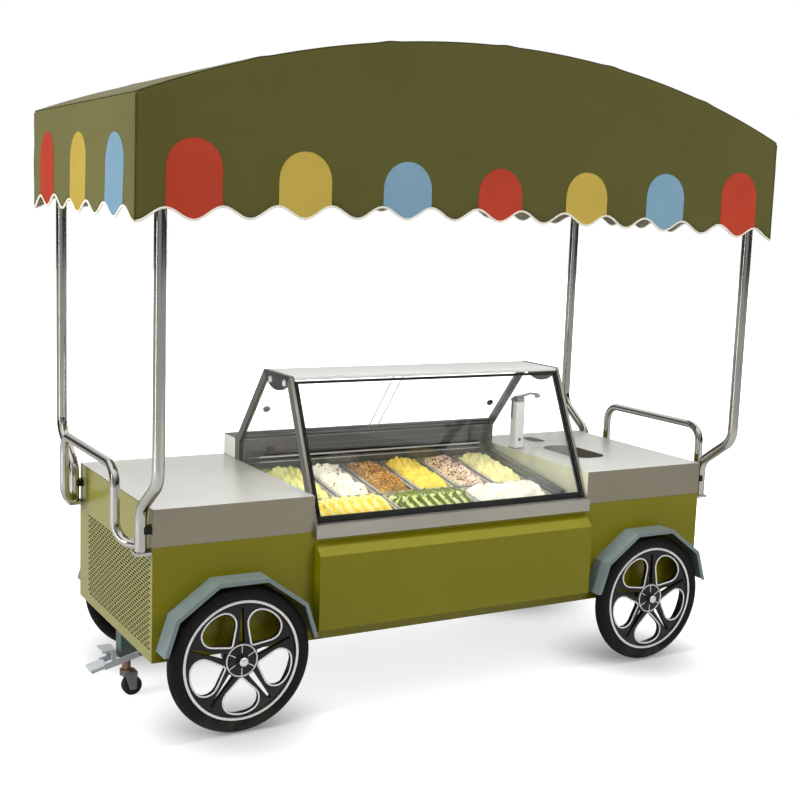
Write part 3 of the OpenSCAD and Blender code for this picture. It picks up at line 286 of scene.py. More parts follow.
@dataclass(frozen=True)
class Finish(Surface):
    """A surface finish; its optional effects are left out where they are zero."""

    name: str
    color: Color
    shade: Color
    roughness: float
    spread: float = 0.06
    scale: float = 3.0
    amount: float = 0.6
    metallic: float = 0.0
    coat: float = 0.0
    bump: float = 0.04
    bump_depth: float = 0.0004
    brush: tuple[float, float, float] = (0.0, 0.0, 0.0)
    weave: float = 0.0
    fleck_color: Color = (0.0, 0.0, 0.0, 1.0)
    fleck_scale: float = 0.0
    fleck_size: float = 0.5
    dust: float = 0.0
    dust_top: float = 0.5
    soft: float = 0.0
    sheen: float = 0.0
    shine: float = 0.5
    coat_roughness: float = 0.06
    soft_depth: float = 0.006
    brush_shade: float = 0.35
    brush_rough: float = 0.25
    weave_shade: float = 0.3
    dust_rough: float = 0.3

    def material(self) -> bpy.types.Material:
        """The finish's material, with its colour for plain views."""
        made = super().material()
        made.diffuse_color = self.color
        return made

    def feeds(self, tree: Tree) -> dict[str, object]:
        """What feeds the shader's inputs: the tone, then each effect that the finish has."""
        tone = Effect.TONE.use(
            tree, Color=self.color, Shade=self.shade, Scale=self.scale, Amount=self.amount,
            Roughness=self.roughness, Spread=self.spread,
        )
        color, rough, height = tone.outputs["Color"], tone.outputs["Roughness"], tone.outputs["Height"]
        if any(self.brush):
            streak = Effect.BRUSH.use(tree, Stretch=self.brush).outputs["Streak"]
            lines = tree.math("MULTIPLY", tree.ramp(streak, 0.35, 0.7), self.brush_shade)
            color = tree.mix(lines, color, self.shade)
            uneven = tree.math("MULTIPLY", tree.math("SUBTRACT", streak, 0.5), self.brush_rough)
            rough = tree.math("ADD", rough, uneven)
            height = tree.math("ADD", height, streak)
        if self.weave:
            woven = Effect.WEAVE.use(tree, Pitch=self.weave)
            threads = tree.math("MULTIPLY", woven.outputs["Mask"], self.weave_shade)
            color = tree.mix(threads, color, self.shade)
            height = woven.outputs["Height"]
        if self.fleck_scale:
            spots = Effect.FLECK.use(tree, Scale=self.fleck_scale, Size=self.fleck_size).outputs["Mask"]
            color = tree.mix(spots, color, self.fleck_color)
            height = tree.math("ADD", height, spots)
        if self.dust:
            low = Effect.DUST.use(tree, Low=0.0, High=self.dust_top).outputs["Mask"]
            layer = tree.math("MULTIPLY", low, self.dust)
            color = tree.mix(layer, color, DUST_COLOR)
            rough = tree.math("ADD", rough, tree.math("MULTIPLY", layer, self.dust_rough), clamp=True)
        relief = {"Strength": self.bump, "Distance": self.bump_depth, "Height": height}
        bump = tree.add("ShaderNodeBump", relief)
        return {"Base Color": color, "Roughness": rough, "Normal": bump.outputs[0], "Metallic": self.metallic,
                "Specular IOR Level": self.shine, "Coat Weight": self.coat, "Sheen Weight": self.sheen,
                "Coat Roughness": self.coat_roughness, "Subsurface Weight": self.soft,
                "Subsurface Scale": self.soft_depth}


@dataclass(frozen=True)
class GlassFinish(Surface):
    """Clear glass that lets light fall through to what stands behind it."""

    name: str
    tint: Color
    haze: Color
    roughness: float = 0.0
    index: float = 1.4
    body: float = 0.07
    edge_body: float = 0.4
    edge_power: float = 3.0
    let_through: float = 0.85
    patch_scale: float = 2.0
    patch_amount: float = 0.5

    def feeds(self, tree: Tree) -> dict[str, object]:
        """What feeds the shader's inputs: little body, more of it at a slant, and less in shadows."""
        tone = Effect.TONE.use(tree, Color=self.tint, Shade=self.haze, Scale=self.patch_scale,
                               Amount=self.patch_amount)
        path = tree.add("ShaderNodeLightPath")
        through = tree.math("MAXIMUM", path.outputs["Is Shadow Ray"], path.outputs["Is Diffuse Ray"])
        facing = tree.math("POWER", tree.add("ShaderNodeLayerWeight").outputs["Facing"], self.edge_power)
        body = tree.math("ADD", self.body, tree.math("MULTIPLY", facing, self.edge_body))
        kept = tree.math("SUBTRACT", 1.0, tree.math("MULTIPLY", through, self.let_through))
        return {"Base Color": tone.outputs["Color"], "Roughness": self.roughness, "IOR": self.index,
                "Transmission Weight": 1.0, "Alpha": tree.math("MULTIPLY", body, kept)}


OLIVE = Finish("olive_paint", srgb(122, 117, 6), srgb(116, 110, 4), 0.3, 0.05, 2.0, 0.5, coat=0.2,
               dust=0.04, dust_top=0.42, shine=0.2)
# A paler, greyer copy of the olive paint for the left end panel: painted light.
END_OLIVE_PAINTED_LIGHT = Finish("end_paint_painted_light", srgb(138, 134, 58), srgb(130, 126, 50), 0.34, 0.05, 2.0, 0.5, coat=0.3,
                   dust=0.04, dust_top=0.42)
STEEL = Finish("counter_steel", srgb(200, 196, 184), srgb(182, 177, 165), 0.34, 0.08, 2.5, 0.5,
               metallic=0.9, brush=(3.0, 420.0, 420.0), bump=0.05)
# Paler copy of the counter steel for faces that look up: painted light.
TOP_STEEL_PAINTED_LIGHT = Finish("pale_steel_painted_light", srgb(188, 188, 181), srgb(183, 183, 176), 0.3, 0.03, 2.5, 0.5,
                    metallic=0.25, bump=0.01)
SHELF = Finish("shelf_steel", srgb(192, 194, 189), srgb(187, 189, 184), 0.3, 0.03, 2.5, 0.5, metallic=0.1,
               bump=0.01)
# Darker copy of the same steel for the counters' side bands: painted shade.
BAND_STEEL_PAINTED_SHADE = Finish("band_steel_painted_shade", srgb(160, 153, 134), srgb(152, 145, 126), 0.38, 0.04, 2.5, 0.5, metallic=0.7,
              bump=0.01)
CHROME = Finish("bright_tube", srgb(212, 210, 203), srgb(190, 188, 181), 0.12, 0.05, 8.0, 0.4, metallic=1.0,
                bump=0.02)
SILVER = Finish("polished_rim", srgb(246, 245, 243), srgb(232, 231, 228), 0.24, 0.06, 9.0, 0.5,
                metallic=0.55, bump=0.03)
FRAME_GREY = Finish("frame_grey", srgb(104, 105, 101), srgb(94, 95, 92), 0.42, 0.06, 5.0, 0.6, metallic=0.3,
                    bump=0.06)
DARK_GREY = Finish("dark_grey", srgb(60, 61, 60), srgb(48, 49, 48), 0.45, 0.08, 6.0, 0.6, bump=0.08,
                   shine=0.3)
DUCT_GREY = Finish("duct_grey", srgb(82, 83, 79), srgb(77, 78, 74), 0.45, 0.05, 4.0, 0.6, shine=0.25,
                   bump=0.03)
PALE_CAP = Finish("pale_cap", srgb(214, 213, 205), srgb(200, 198, 190), 0.42, 0.06, 6.0, 0.6, bump=0.06)
CHASSIS = Finish("chassis_paint", srgb(74, 98, 98), srgb(52, 70, 70), 0.46, 0.1, 7.0, 0.7, bump=0.15,
                 dust=0.5, dust_top=0.35)
FENDER = Finish("fender_paint", srgb(114, 127, 128), srgb(106, 119, 120), 0.33, 0.08, 6.0, 0.7, coat=0.3,
                dust=0.1, dust_top=0.5)
PEDAL = Finish("pedal_paint", srgb(204, 209, 212), srgb(184, 189, 193), 0.38, 0.1, 12.0, 0.7, bump=0.12,
               dust=0.3, dust_top=0.2)
FORK = Finish("fork_steel", srgb(150, 152, 154), srgb(122, 124, 126), 0.36, 0.1, 14.0, 0.6, metallic=0.7,
              dust=0.3, dust_top=0.15)
COPPER = Finish("stem_copper", srgb(182, 148, 128), srgb(150, 116, 98), 0.34, 0.1, 14.0, 0.7, metallic=0.9)
RUBBER = Finish("tyre_rubber", srgb(20, 19, 19), srgb(15, 14, 14), 0.5, 0.1, 9.0, 0.7, bump=0.2, dust=0.15,
                dust_top=0.1, shine=0.2)
SMALL_RUBBER = Finish("caster_rubber", srgb(40, 40, 40), srgb(30, 30, 30), 0.6, 0.1, 20.0, 0.7, bump=0.2)
WHEEL_BLACK = Finish("wheel_black", srgb(34, 33, 33), srgb(26, 25, 25), 0.36, 0.08, 9.0, 0.6, coat=0.1,
                     dust=0.12, dust_top=0.3, shine=0.25)
TAP_WHITE = Finish("tap_white", srgb(253, 253, 251), srgb(249, 249, 246), 0.3, 0.05, 10.0, 0.5, coat=0.4)
TAP_METAL = Finish("tap_metal", srgb(205, 205, 202), srgb(176, 176, 172), 0.22, 0.06, 16.0, 0.5,
                   metallic=1.0)
BLACK_TRIM = Finish("black_trim", srgb(20, 21, 21), srgb(14, 15, 15), 0.36, 0.08, 10.0, 0.6, bump=0.06,
                    shine=0.25)
# Near-black screen colour: painted shade for the inside behind the slots.
SCREEN_PAINTED_SHADE = Finish("filter_screen_painted_shade", srgb(14, 14, 10), srgb(9, 9, 7), 0.9, 0.05, 30.0, 0.7, weave=0.003,
                bump=0.4)
LINER = Finish("counter_liner", srgb(214, 216, 190), srgb(206, 209, 176), 0.3, 0.05, 3.0, 0.6, coat=0.3)
DIAL = Finish("dial_plate", srgb(100, 74, 64), srgb(88, 64, 55), 0.5, 0.06, 8.0, 0.5, shine=0.3)
WELL = Finish("well_plastic", srgb(92, 96, 100), srgb(78, 82, 86), 0.55, 0.08, 6.0, 0.6, bump=0.15)
PAN_STEEL = Finish("pan_steel", srgb(214, 214, 210), srgb(182, 182, 178), 0.3, 0.08, 9.0, 0.5,
                   metallic=0.85, brush=(260.0, 6.0, 260.0))
ALLOY = Finish("canopy_alloy", srgb(168, 170, 168), srgb(146, 148, 146), 0.38, 0.08, 5.0, 0.5, metallic=0.8,
               brush=(4.0, 260.0, 260.0))
MACHINE = Finish("machine_alloy", srgb(140, 142, 142), srgb(112, 114, 114), 0.44, 0.1, 6.0, 0.6,
                 metallic=0.5, bump=0.12)
TANK = Finish("tank_plastic", srgb(226, 228, 226), srgb(206, 208, 206), 0.5, 0.06, 6.0, 0.6, bump=0.12)
CANVAS = Finish("canopy_cloth", srgb(98, 95, 45), srgb(90, 87, 40), 0.78, 0.06, 2.2, 0.7, weave=0.0022,
                bump=0.35, bump_depth=0.0005, shine=0.2, sheen=0.12)
# The cloth's inner face, painted far paler than the canvas: painted light for light through the cloth.
LINING_PAINTED_LIGHT = Finish("canopy_lining_painted_light", srgb(176, 172, 146), srgb(156, 152, 128), 0.85, 0.05, 2.4, 0.7,
                weave=0.0022, bump=0.35, bump_depth=0.0005)
SEAM = Finish("canopy_seam", srgb(70, 67, 28), srgb(58, 56, 22), 0.85, 0.05, 20.0, 0.6, weave=0.0018,
              bump=0.3)
GLASS_EDGE = Finish("glass_edge", srgb(150, 172, 164), srgb(128, 152, 144), 0.2, 0.05, 12.0, 0.5, coat=0.4)
PIPING = Finish("hem_binding", srgb(250, 246, 234), srgb(238, 232, 216), 0.75, 0.06, 20.0, 0.6,
                weave=0.0018, bump=0.3)
CLEAR = GlassFinish("clear_glass", (0.96, 0.985, 0.98, 1.0), (0.93, 0.965, 0.955, 1.0))
# How much darker the arch cloth is painted on the canopy's ends: painted shade.
END_ARCH_SHADE = 0.7


def arch_cloth(name: str, color: Color, shade: Color) -> Finish:
    """The woven finish of a sewn arch."""
    return Finish(name, color, shade, 0.8, 0.05, 6.0, 0.6, weave=0.0022, bump=0.3)


def shaded_for_ends(color: Color) -> Color:
    """A colour darkened for the canopy's ends, as painted shade."""
    return tuple(END_ARCH_SHADE * c for c in color[:3]) + color[3:]


class ArchColor(Enum):
    """Colours of the arches sewn on the canopy."""

    RED = arch_cloth("arch_red", srgb(196, 65, 38), srgb(182, 58, 33))
    YELLOW = arch_cloth("arch_yellow", srgb(206, 178, 78), srgb(194, 167, 70))
    BLUE = arch_cloth("arch_blue", srgb(134, 172, 194), srgb(124, 162, 186))

    @property
    def end_painted_shade(self) -> Finish:
        """A darker copy of the same arch cloth for the two ends: painted shade."""
        cloth = self.value
        return replace(cloth, name=f"{cloth.name}_end", color=shaded_for_ends(cloth.color), shade=shaded_for_ends(cloth.shade))


class Form:
    """Vertices and faces that grow piece by piece, then become one object."""

    def __init__(self) -> None:
        """Starts empty."""
        self.verts: list[Vector] = []
        self.faces: Faces = []
        self.marks: list[int] = []

    def add(self, verts: Iterable[Sequence[float]], faces: Iterable[Sequence[int]], mark: int = 0,
            matrix: Matrix | None = None) -> None:
        """Takes in a mesh.

        Args:
            verts: Its points.
            faces: Its faces, as indices into verts.
            mark: The material slot of its faces.
            matrix: A transform for its points.
        """
        base = len(self.verts)
        self.verts += [matrix @ Vector(v) if matrix else Vector(v) for v in verts]
        new = [tuple(base + i for i in f) for f in faces]
        self.faces += new
        self.marks += [mark] * len(new)

    def take(self, bm: bmesh.types.BMesh, **how: object) -> None:
        """Takes in a bmesh, which is used up."""
        bm.verts.index_update()
        faces = [[v.index for v in f.verts] for f in bm.faces]
        self.add([v.co.copy() for v in bm.verts], faces, **how)
        bm.free()

    def rings(self, rings: Sequence[Sequence[Sequence[float]]], looped: bool = False, caps: bool = True,
              **how: object) -> None:
        """Joins rings of equal length into a skin.

        Args:
            rings: The rings, each a list of points.
            looped: Whether the last ring joins the first.
            caps: Whether the first and last rings are filled.
            how: Its mark and matrix, as add takes them.
        """
        size = len(rings[0])
        faces: Faces = []
        for a in range(len(rings) if looped else len(rings) - 1):
            b = (a + 1) % len(rings)
            for i in range(size):
                j = (i + 1) % size
                faces.append((a * size + i, a * size + j, b * size + j, b * size + i))
        if caps and not looped:
            last = (len(rings) - 1) * size
            faces.append(tuple(reversed(range(size))))
            faces.append(tuple(range(last, last + size)))
        self.add([p for ring in rings for p in ring], faces, **how)

    def tube(self, path: Sequence[Vector], radius: float, closed: bool = False, sides: int = 10,
             flat: tuple[float, Vector] | None = None, **how: object) -> None:
        """A round or flattened tube along a path.

        Args:
            path: Points of its middle line.
            radius: Its radius.
            closed: Whether the path runs back to its start.
            sides: Facets round it.
            flat: A factor and a direction in which its section is flattened.
            how: Its mark and matrix, as add takes them.
        """
        count = len(path)
        ring_list = []
        up = None
        for i, p in enumerate(path):
            before = path[(i - 1) % count] if closed or i else p
            after = path[(i + 1) % count] if closed or i < count - 1 else p
            along = (after - before).normalized()
            if up is None:
                up = Vector((0, 0, 1)) if abs(along.z) < 0.9 else Vector((1, 0, 0))
            side = along.cross(up).normalized()
            up = side.cross(along).normalized()
            ring = []
            for k in range(sides):
                a = 2 * math.pi * k / sides
                d = (side * math.cos(a) + up * math.sin(a)) * radius
                if flat:
                    d -= flat[1] * d.dot(flat[1]) * (1 - flat[0])
                ring.append(p + d)
            ring_list.append(ring)
        self.rings(ring_list, looped=closed, **how)

    def lathe(self, profile: Sequence[tuple[float, float]], steps: int = 48, looped: bool = False,
              **how: object) -> None:
        """A turned shape about +Z.

        Args:
            profile: Radius and height of each point, in order.
            steps: Facets round it.
            looped: Whether the profile runs back to its first point.
            how: Its mark and matrix, as add takes them.
        """
        turned = [
            [(r * math.cos(2 * math.pi * k / steps), r * math.sin(2 * math.pi * k / steps), z)
             for k in range(steps)]
            for r, z in profile
        ]
        self.rings(turned, looped=looped, caps=not looped, **how)

    def block(self, low: Sequence[float], high: Sequence[float], round_by: float, **how: object) -> None:
        """A box with rounded edges.

        Args:
            low: Its lowest corner.
            high: Its highest corner.
            round_by: The radius of its edges.
            how: Its mark and matrix, as add takes them.
        """
        bm = bmesh.new()
        bmesh.ops.create_cube(bm, size=1.0)
        lo, hi = Vector(low), Vector(high)
        for v in bm.verts:
            v.co = Vector(lo[i] + (v.co[i] + 0.5) * (hi[i] - lo[i]) for i in range(3))
        bmesh.ops.bevel(bm, geom=bm.edges[:], offset=round_by, segments=2, profile=0.5, affect="EDGES")
        self.take(bm, **how)

    def build(self, name: str, body: str, slot: str, *finishes: Surface,
              sharp: float = 35.0) -> bpy.types.Object:
        """Makes the object.

        Args:
            name: The piece's name.
            body: The body it rides on.
            slot: The record's material slot of the piece; it is not used.
            finishes: Its materials, in the order of the marks.
            sharp: The angle in degrees above which an edge stays sharp.

        Returns:
            The piece.
        """
        mesh = bpy.data.meshes.new(name)
        mesh.from_pydata([v[:] for v in self.verts], [], self.faces)
        mesh.polygons.foreach_set("material_index", self.marks)
        bm = bmesh.new()
        bm.from_mesh(mesh)
        bmesh.ops.recalc_face_normals(bm, faces=bm.faces[:])
        bm.to_mesh(mesh)
        bm.free()
        mesh.polygons.foreach_set("use_smooth", [True] * len(mesh.polygons))
        mesh.set_sharp_from_angle(angle=math.radians(sharp))
        for f in finishes:
            mesh.materials.append(f.material())
        piece = bpy.data.objects.new(name, mesh)
        bpy.context.scene.collection.objects.link(piece)
        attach(piece, body)
        LOG.info("piece %s: %d faces on %s", name, len(mesh.polygons), body)
        return piece


def node_islands(node: str) -> list[bmesh.types.BMesh]:
    """The separate solids of a CAD node, each as a welded mesh of flat faces.

    Args:
        node: The node's name.

    Returns:
        One bmesh for each solid; the caller frees them.
    """
    whole = bmesh.new()
    whole.from_mesh(frame["nodes"][node].data)
    bmesh.ops.remove_doubles(whole, verts=whole.verts[:], dist=WELD)
    whole.verts.index_update()
    seen: set[bmesh.types.BMVert] = set()
    parts = []
    for start in whole.verts:
        if start in seen:
            continue
        todo = [start]
        found = {start}
        while todo:
            for e in todo.pop().link_edges:
                new = [v for v in e.verts if v not in found]
                found.update(new)
                todo += new
        seen |= found
        part = bmesh.new()
        place = {v: part.verts.new(v.co) for v in sorted(found, key=lambda v: v.index)}
        for f in whole.faces:
            if f.verts[0] in found:
                part.faces.new([place[v] for v in f.verts])
        part.normal_update()
        parts.append(part)
    whole.free()
    return parts


def soften(form: Form, bm: bmesh.types.BMesh, width: float, mark: int) -> None:
    """Rounds a solid's sharp edges and takes it into a form.

    Args:
        form: What takes the solid in.
        bm: The solid, which is used up.
        width: The size of the rounding.
        mark: The material slot of its faces.
    """
    bmesh.ops.dissolve_limit(bm, angle_limit=FLAT_ANGLE, verts=bm.verts[:], edges=bm.edges[:])
    sharp = [e for e in bm.edges if len(e.link_faces) == 2 and e.calc_face_angle(0.0) > EDGE_ANGLE]
    bmesh.ops.bevel(bm, geom=sharp, offset=width, segments=2, profile=0.5, affect="EDGES",
                    clamp_overlap=True)
    form.take(bm, mark=mark)


def middle(bm: bmesh.types.BMesh) -> Vector:
    """The middle of a solid's points."""
    return sum((v.co for v in bm.verts), Vector()) / len(bm.verts)


def body_of_node(node: str) -> str:
    """The body that a CAD node belongs to."""
    return next(b for b, nodes in frame["record"]["behaviour"]["bodies"].items() if node in nodes)


def slot_of_node(node: str) -> str:
    """The material slot of a CAD node."""
    return next(s["material_slot"] for s in frame["record"]["subparts"] if s["node"] == node)


def dress(finish: Surface, *nodes: str) -> None:
    """Gives the CAD nodes' own objects a finish."""
    for node in nodes:
        mesh = frame["nodes"][node].data
        mesh.materials.clear()
        mesh.materials.append(finish.material())
        LOG.info("node %s dressed in %s", node, finish.name)


def rounded_node(node: str, width: float, *finishes: Finish,
                 pick: Callable[[Vector], int] | None = None) -> bpy.types.Object:
    """A piece in the shape of a CAD node with rounded edges, which stands for it.

    Args:
        node: The node's name.
        width: The size of the rounding.
        finishes: Its materials.
        pick: The material of a solid by its middle, or None where there is one.

    Returns:
        The piece.
    """
    form = Form()
    for part in node_islands(node):
        mark = pick(middle(part)) if pick else 0
        soften(form, part, width, mark)
    piece = form.build(f"{node}_form", body_of_node(node), slot_of_node(node), *finishes)
    flat = piece.modifiers.new("flat_faces", "WEIGHTED_NORMAL")
    flat.weight, flat.keep_sharp = 100, True
    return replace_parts(piece, node)


def rounded_outline(half_x: float, half_y: float, radius: float, steps: int = 4) -> list[tuple[float, float]]:
    """A rectangle's outline with rounded corners, counter-clockwise about the origin."""
    points = []
    for turn, (sx, sy) in enumerate(((1, 1), (-1, 1), (-1, -1), (1, -1))):
        for k in range(steps + 1):
            a = math.radians(90 * (turn + k / steps))
            points.append((sx * (half_x - radius) + radius * math.cos(a),
                           sy * (half_y - radius) + radius * math.sin(a)))
    return points


@dataclass
class Canopy:
    """The arched cloth with its wavy hem, sewn arches and bound edge."""

    half_length: float = 1326 * MM
    half_depth: float = 602 * MM
    hem: float = 1738 * MM
    wave_depth: float = 40 * MM
    front_rise: float = 36 * MM
    end_rise: float = 18 * MM
    back_lift: float = 26 * MM
    eave: float = 2123 * MM
    rise: float = 254 * MM
    front_waves: int = 14
    end_waves: int = 6
    columns: int = 12
    rows: int = 14
    edge_round: float = 8 * MM
    corner_round: float = 8 * MM
    purlin_gap: float = 466 * MM
    purlin_bump: float = 3.5 * MM
    purlin_width: float = 30 * MM
    cloth: float = 1.6 * MM
    arch_half: float = 93 * MM
    arch_top: float = 1958 * MM
    arch_lift: float = 40 * MM
    end_arch_top: float = 2026 * MM
    end_arch_lean: float = 15 * MM
    binding: float = 3.8 * MM
    seam: float = 2.2 * MM
    seam_lift: float = 0.4 * MM
    seam_share: float = 0.29
    top_share: float = 1.025
    arch_lifts: tuple[float, ...] = (0.2 * MM, 1.2 * MM)
    billow: float = 7.0 * MM
    billow_scale: float = 2.3
    crease: float = 2.6 * MM
    crease_scale: float = 9.0
    loosening: float = 1.3
    seam_steps: int = 24
    front_arches: int = 7
    end_arches: int = 3
    flare: float = 3.0 * MM
    slack: float = 1.6 * MM
    arch_columns: int = 20
    arch_rows: int = 12

    def crown(self, x: float) -> float:
        """Height of the arched top at x."""
        radius = (self.half_length**2 + self.rise**2) / (2 * self.rise)
        beside = (x + self.purlin_gap / 2) % self.purlin_gap - self.purlin_gap / 2
        bump = math.exp(-((beside / self.purlin_width) ** 2))
        return self.eave + self.rise - radius + math.sqrt(radius**2 - x**2) + self.purlin_bump * bump

    def hem_at(self, along: float, length: float, waves: int, rise: float) -> float:
        """Height of the wavy hem; it rises from the corners towards the middle."""
        wave = self.wave_depth * (1 - math.cos(2 * math.pi * waves * (along / length + 0.5))) / 2
        return self.hem + rise * (1 - (2 * along / length) ** 2) + wave

    def drawn_up(self, y: float) -> float:
        """How far the hem of an end is drawn up at y, towards the back."""
        share = min(1.0, max(0.0, 1.5 * y / self.half_depth))
        return self.back_lift * (1 - math.cos(math.pi * share)) / 2

    def station(self, x: float, y: float) -> tuple[Vector, Vector, float]:
        """A point of the plan's outline.

        Args:
            x: Its place on the sharp-cornered outline.
            y: Its place on the sharp-cornered outline.

        Returns:
            The point on the round-cornered outline, the outward direction and the hem's height there.
        """
        r = self.corner_round
        on_side = self.half_depth - abs(y) < self.half_length - abs(x)
        hem = (self.hem_at(x, 2 * self.half_length, self.front_waves, self.front_rise) if on_side
               else self.hem_at(y, 2 * self.half_depth, self.end_waves, self.end_rise)) + self.drawn_up(y)
        past_x = abs(x) - self.half_length + r
        past_y = abs(y) - self.half_depth + r
        sx, sy = math.copysign(1, x), math.copysign(1, y)
        if past_x <= 0 or past_y <= 0:
            out = Vector((0, sy, 0)) if on_side else Vector((sx, 0, 0))
            return Vector((x, y, 0)), out, hem
        turn = math.radians(45 * past_x / r if on_side else 90 - 45 * past_y / r)
        out = Vector((sx * math.sin(turn), sy * math.cos(turn), 0))
        centre = Vector((sx * (self.half_length - r), sy * (self.half_depth - r), 0))
        return centre + out * r, out, hem

    def skirt(self, x: float, y: float, z: float, lift: float = 0.0) -> Vector:
        """A point of the hanging skirt, with the cloth's slight waves, lifted off it by lift."""
        at, out, hem = self.station(x, y)
        share = max(0.0, min(1.0, (z - hem) / (self.crown(at.x) - self.edge_round - hem)))
        loose = (1 - share) ** self.loosening
        broad, close = self.billow_scale, self.crease_scale
        wave = noise.noise(Vector((at.x * broad, at.y * broad, share))) * self.billow * loose
        crease = noise.noise(Vector((at.x * close + 7, at.y * close, share * 3))) * self.crease
        fine = crease * math.sin(math.pi * share)
        flare = self.flare * loose
        p = at + out * (wave + fine + flare + lift)
        return Vector((p.x, p.y, z))

    def outline(self) -> list[tuple[float, float]]:
        """The sharp-cornered outline, from the front left corner round to the right."""
        x, y = self.half_length, self.half_depth
        nx, ny = self.front_waves * self.columns, self.end_waves * self.columns
        points = []
        for (x0, y0), (x1, y1), count in (((-x, -y), (x, -y), nx), ((x, -y), (x, y), ny),
                                          ((x, y), (-x, y), nx), ((-x, y), (-x, -y), ny)):
            points += [(x0 + (x1 - x0) * k / count, y0 + (y1 - y0) * k / count) for k in range(count)]
        return points

    def sheet(self) -> bpy.types.Object:
        """The cloth: skirts, rounded edges and the arched top as one sheet."""
        outline = self.outline()
        form = Form()
        rings = []
        for k in range(self.rows + 1):
            ring = []
            for x, y in outline:
                at, _, hem = self.station(x, y)
                top = self.crown(at.x) - self.edge_round
                ring.append(self.skirt(x, y, hem + (top - hem) * k / self.rows))
            rings.append(ring)
        for turn in (22.5, 45.0, 67.5, 90.0):
            ring = []
            for x, y in outline:
                at, out, _ = self.station(x, y)
                p = at - out * self.edge_round * (1 - math.cos(math.radians(turn)))
                z = self.crown(p.x) - self.edge_round * (1 - math.sin(math.radians(turn)))
                ring.append(Vector((p.x, p.y, z)))
            rings.append(ring)
        form.rings(rings, caps=False)
        nx, ny = self.front_waves * self.columns, self.end_waves * self.columns
        base = (len(rings) - 1) * len(outline)
        inner = {}
        for i in range(1, nx):
            for j in range(1, ny):
                x = (2 * i / nx - 1) * (self.half_length - self.edge_round)
                y = (2 * j / ny - 1) * (self.half_depth - self.edge_round)
                inner[i, j] = len(form.verts)
                sag = noise.noise(Vector((x * 3, y * 3, 5.0))) * self.slack
                form.verts.append(Vector((x, y, self.crown(x) + sag)))

        def corner(i: int, j: int) -> int:
            """Index of the top's grid point, on its border or inside."""
            if j == 0:
                return base + i % len(outline)
            if i == nx:
                return base + nx + j
            if j == ny:
                return base + nx + ny + (nx - i)
            if i == 0:
                return base + (2 * nx + ny + (ny - j)) % len(outline)
            return inner[i, j]

        top = [(corner(i, j), corner(i + 1, j), corner(i + 1, j + 1), corner(i, j + 1))
               for i in range(nx) for j in range(ny)]
        form.faces += top
        form.marks += [0] * len(top)
        # The inner face takes the paler lining: painted light.
        cover = form.build("canopy_cloth", "cart", "canopy_cloth", CANVAS, LINING_PAINTED_LIGHT, sharp=60.0)
        thick = cover.modifiers.new("cloth", "SOLIDIFY")
        thick.thickness, thick.offset, thick.material_offset = self.cloth, -1.0, 1
        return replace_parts(cover, "canopy")

    def arch(self, form: Form, middle_x: float, middle_y: float, along: Vector, top: float,
             mark: int = 0) -> None:
        """One arch sewn on a skirt.

        Args:
            form: What takes the arch in.
            middle_x: X of its middle line on the outline.
            middle_y: Y of its middle line on the outline.
            along: The direction that the skirt runs in.
            top: The height of its top.
            mark: Its material slot.
        """
        columns, rows, half = self.arch_columns, self.arch_rows, self.arch_half
        layers = []
        for lift in self.arch_lifts:
            grid = []
            for i in range(columns + 1):
                d = half * math.sin(math.pi * (i / columns - 0.5))
                x, y = middle_x + along.x * d, middle_y + along.y * d
                low = self.station(x, y)[2]
                high = top - half + math.sqrt(max(0.0, half**2 - d**2))
                grid.append([self.skirt(x, y, low + (high - low) * k / rows, lift) for k in range(rows + 1)])
            layers.append(grid)
        size = (columns + 1) * (rows + 1)
        faces: Faces = []

        def at(layer: int, i: int, k: int) -> int:
            """Index of a grid point."""
            return layer * size + i * (rows + 1) + k

        for layer in (0, 1):
            for i in range(columns):
                for k in range(rows):
                    faces.append((at(layer, i, k), at(layer, i + 1, k), at(layer, i + 1, k + 1),
                                  at(layer, i, k + 1)))
        rim = ([(i, 0) for i in range(columns)] + [(columns, k) for k in range(rows)]
               + [(i, rows) for i in range(columns, 0, -1)] + [(0, k) for k in range(rows, 0, -1)])
        for (i, k), (m, n) in zip(rim, rim[1:] + rim[:1]):
            faces.append((at(0, i, k), at(0, m, n), at(1, m, n), at(1, i, k)))
        form.add([p for grid in layers for column in grid for p in column], faces, mark)

    def arches(self) -> list[bpy.types.Object]:
        """All sewn arches, one piece for each colour."""
        forms = {color: Form() for color in ArchColor}
        order = list(ArchColor)
        front_pitch = 4 * self.half_length / self.front_waves
        end_pitch = 4 * self.half_depth / self.end_waves
        half = self.front_arches // 2
        for k in range(self.front_arches):
            at = (k - half) * front_pitch
            top = self.arch_top + self.arch_lift * ((k - half) / half) ** 2
            for sign in (-1, 1):
                self.arch(forms[order[k % 3]], -sign * at, sign * self.half_depth, Vector((1, 0, 0)), top)
        for k in range(self.end_arches):
            at = (k - 1) * end_pitch
            top = self.end_arch_top + self.end_arch_lean * (k - 1)
            self.arch(forms[order[2 - k]], -self.half_length, at, Vector((0, 1, 0)), top, 1)
            self.arch(forms[order[k]], self.half_length, at, Vector((0, 1, 0)), top, 1)
        # Mark 1, used by the end arches, takes each cloth's darker copy: painted shade.
        return [form.build(f"arches_{color.name.lower()}", "cart", "canopy_cloth", color.value, color.end_painted_shade,
                           sharp=50.0)
                for color, form in forms.items()]

    def edge_binding(self) -> bpy.types.Object:
        """The pale binding round the hem."""
        form = Form()
        path = [self.skirt(x, y, self.station(x, y)[2], -self.cloth / 2) for x, y in self.outline()]
        form.tube(path, self.binding, closed=True, sides=8)
        return form.build("hem_binding", "cart", "canopy_cloth", PIPING)

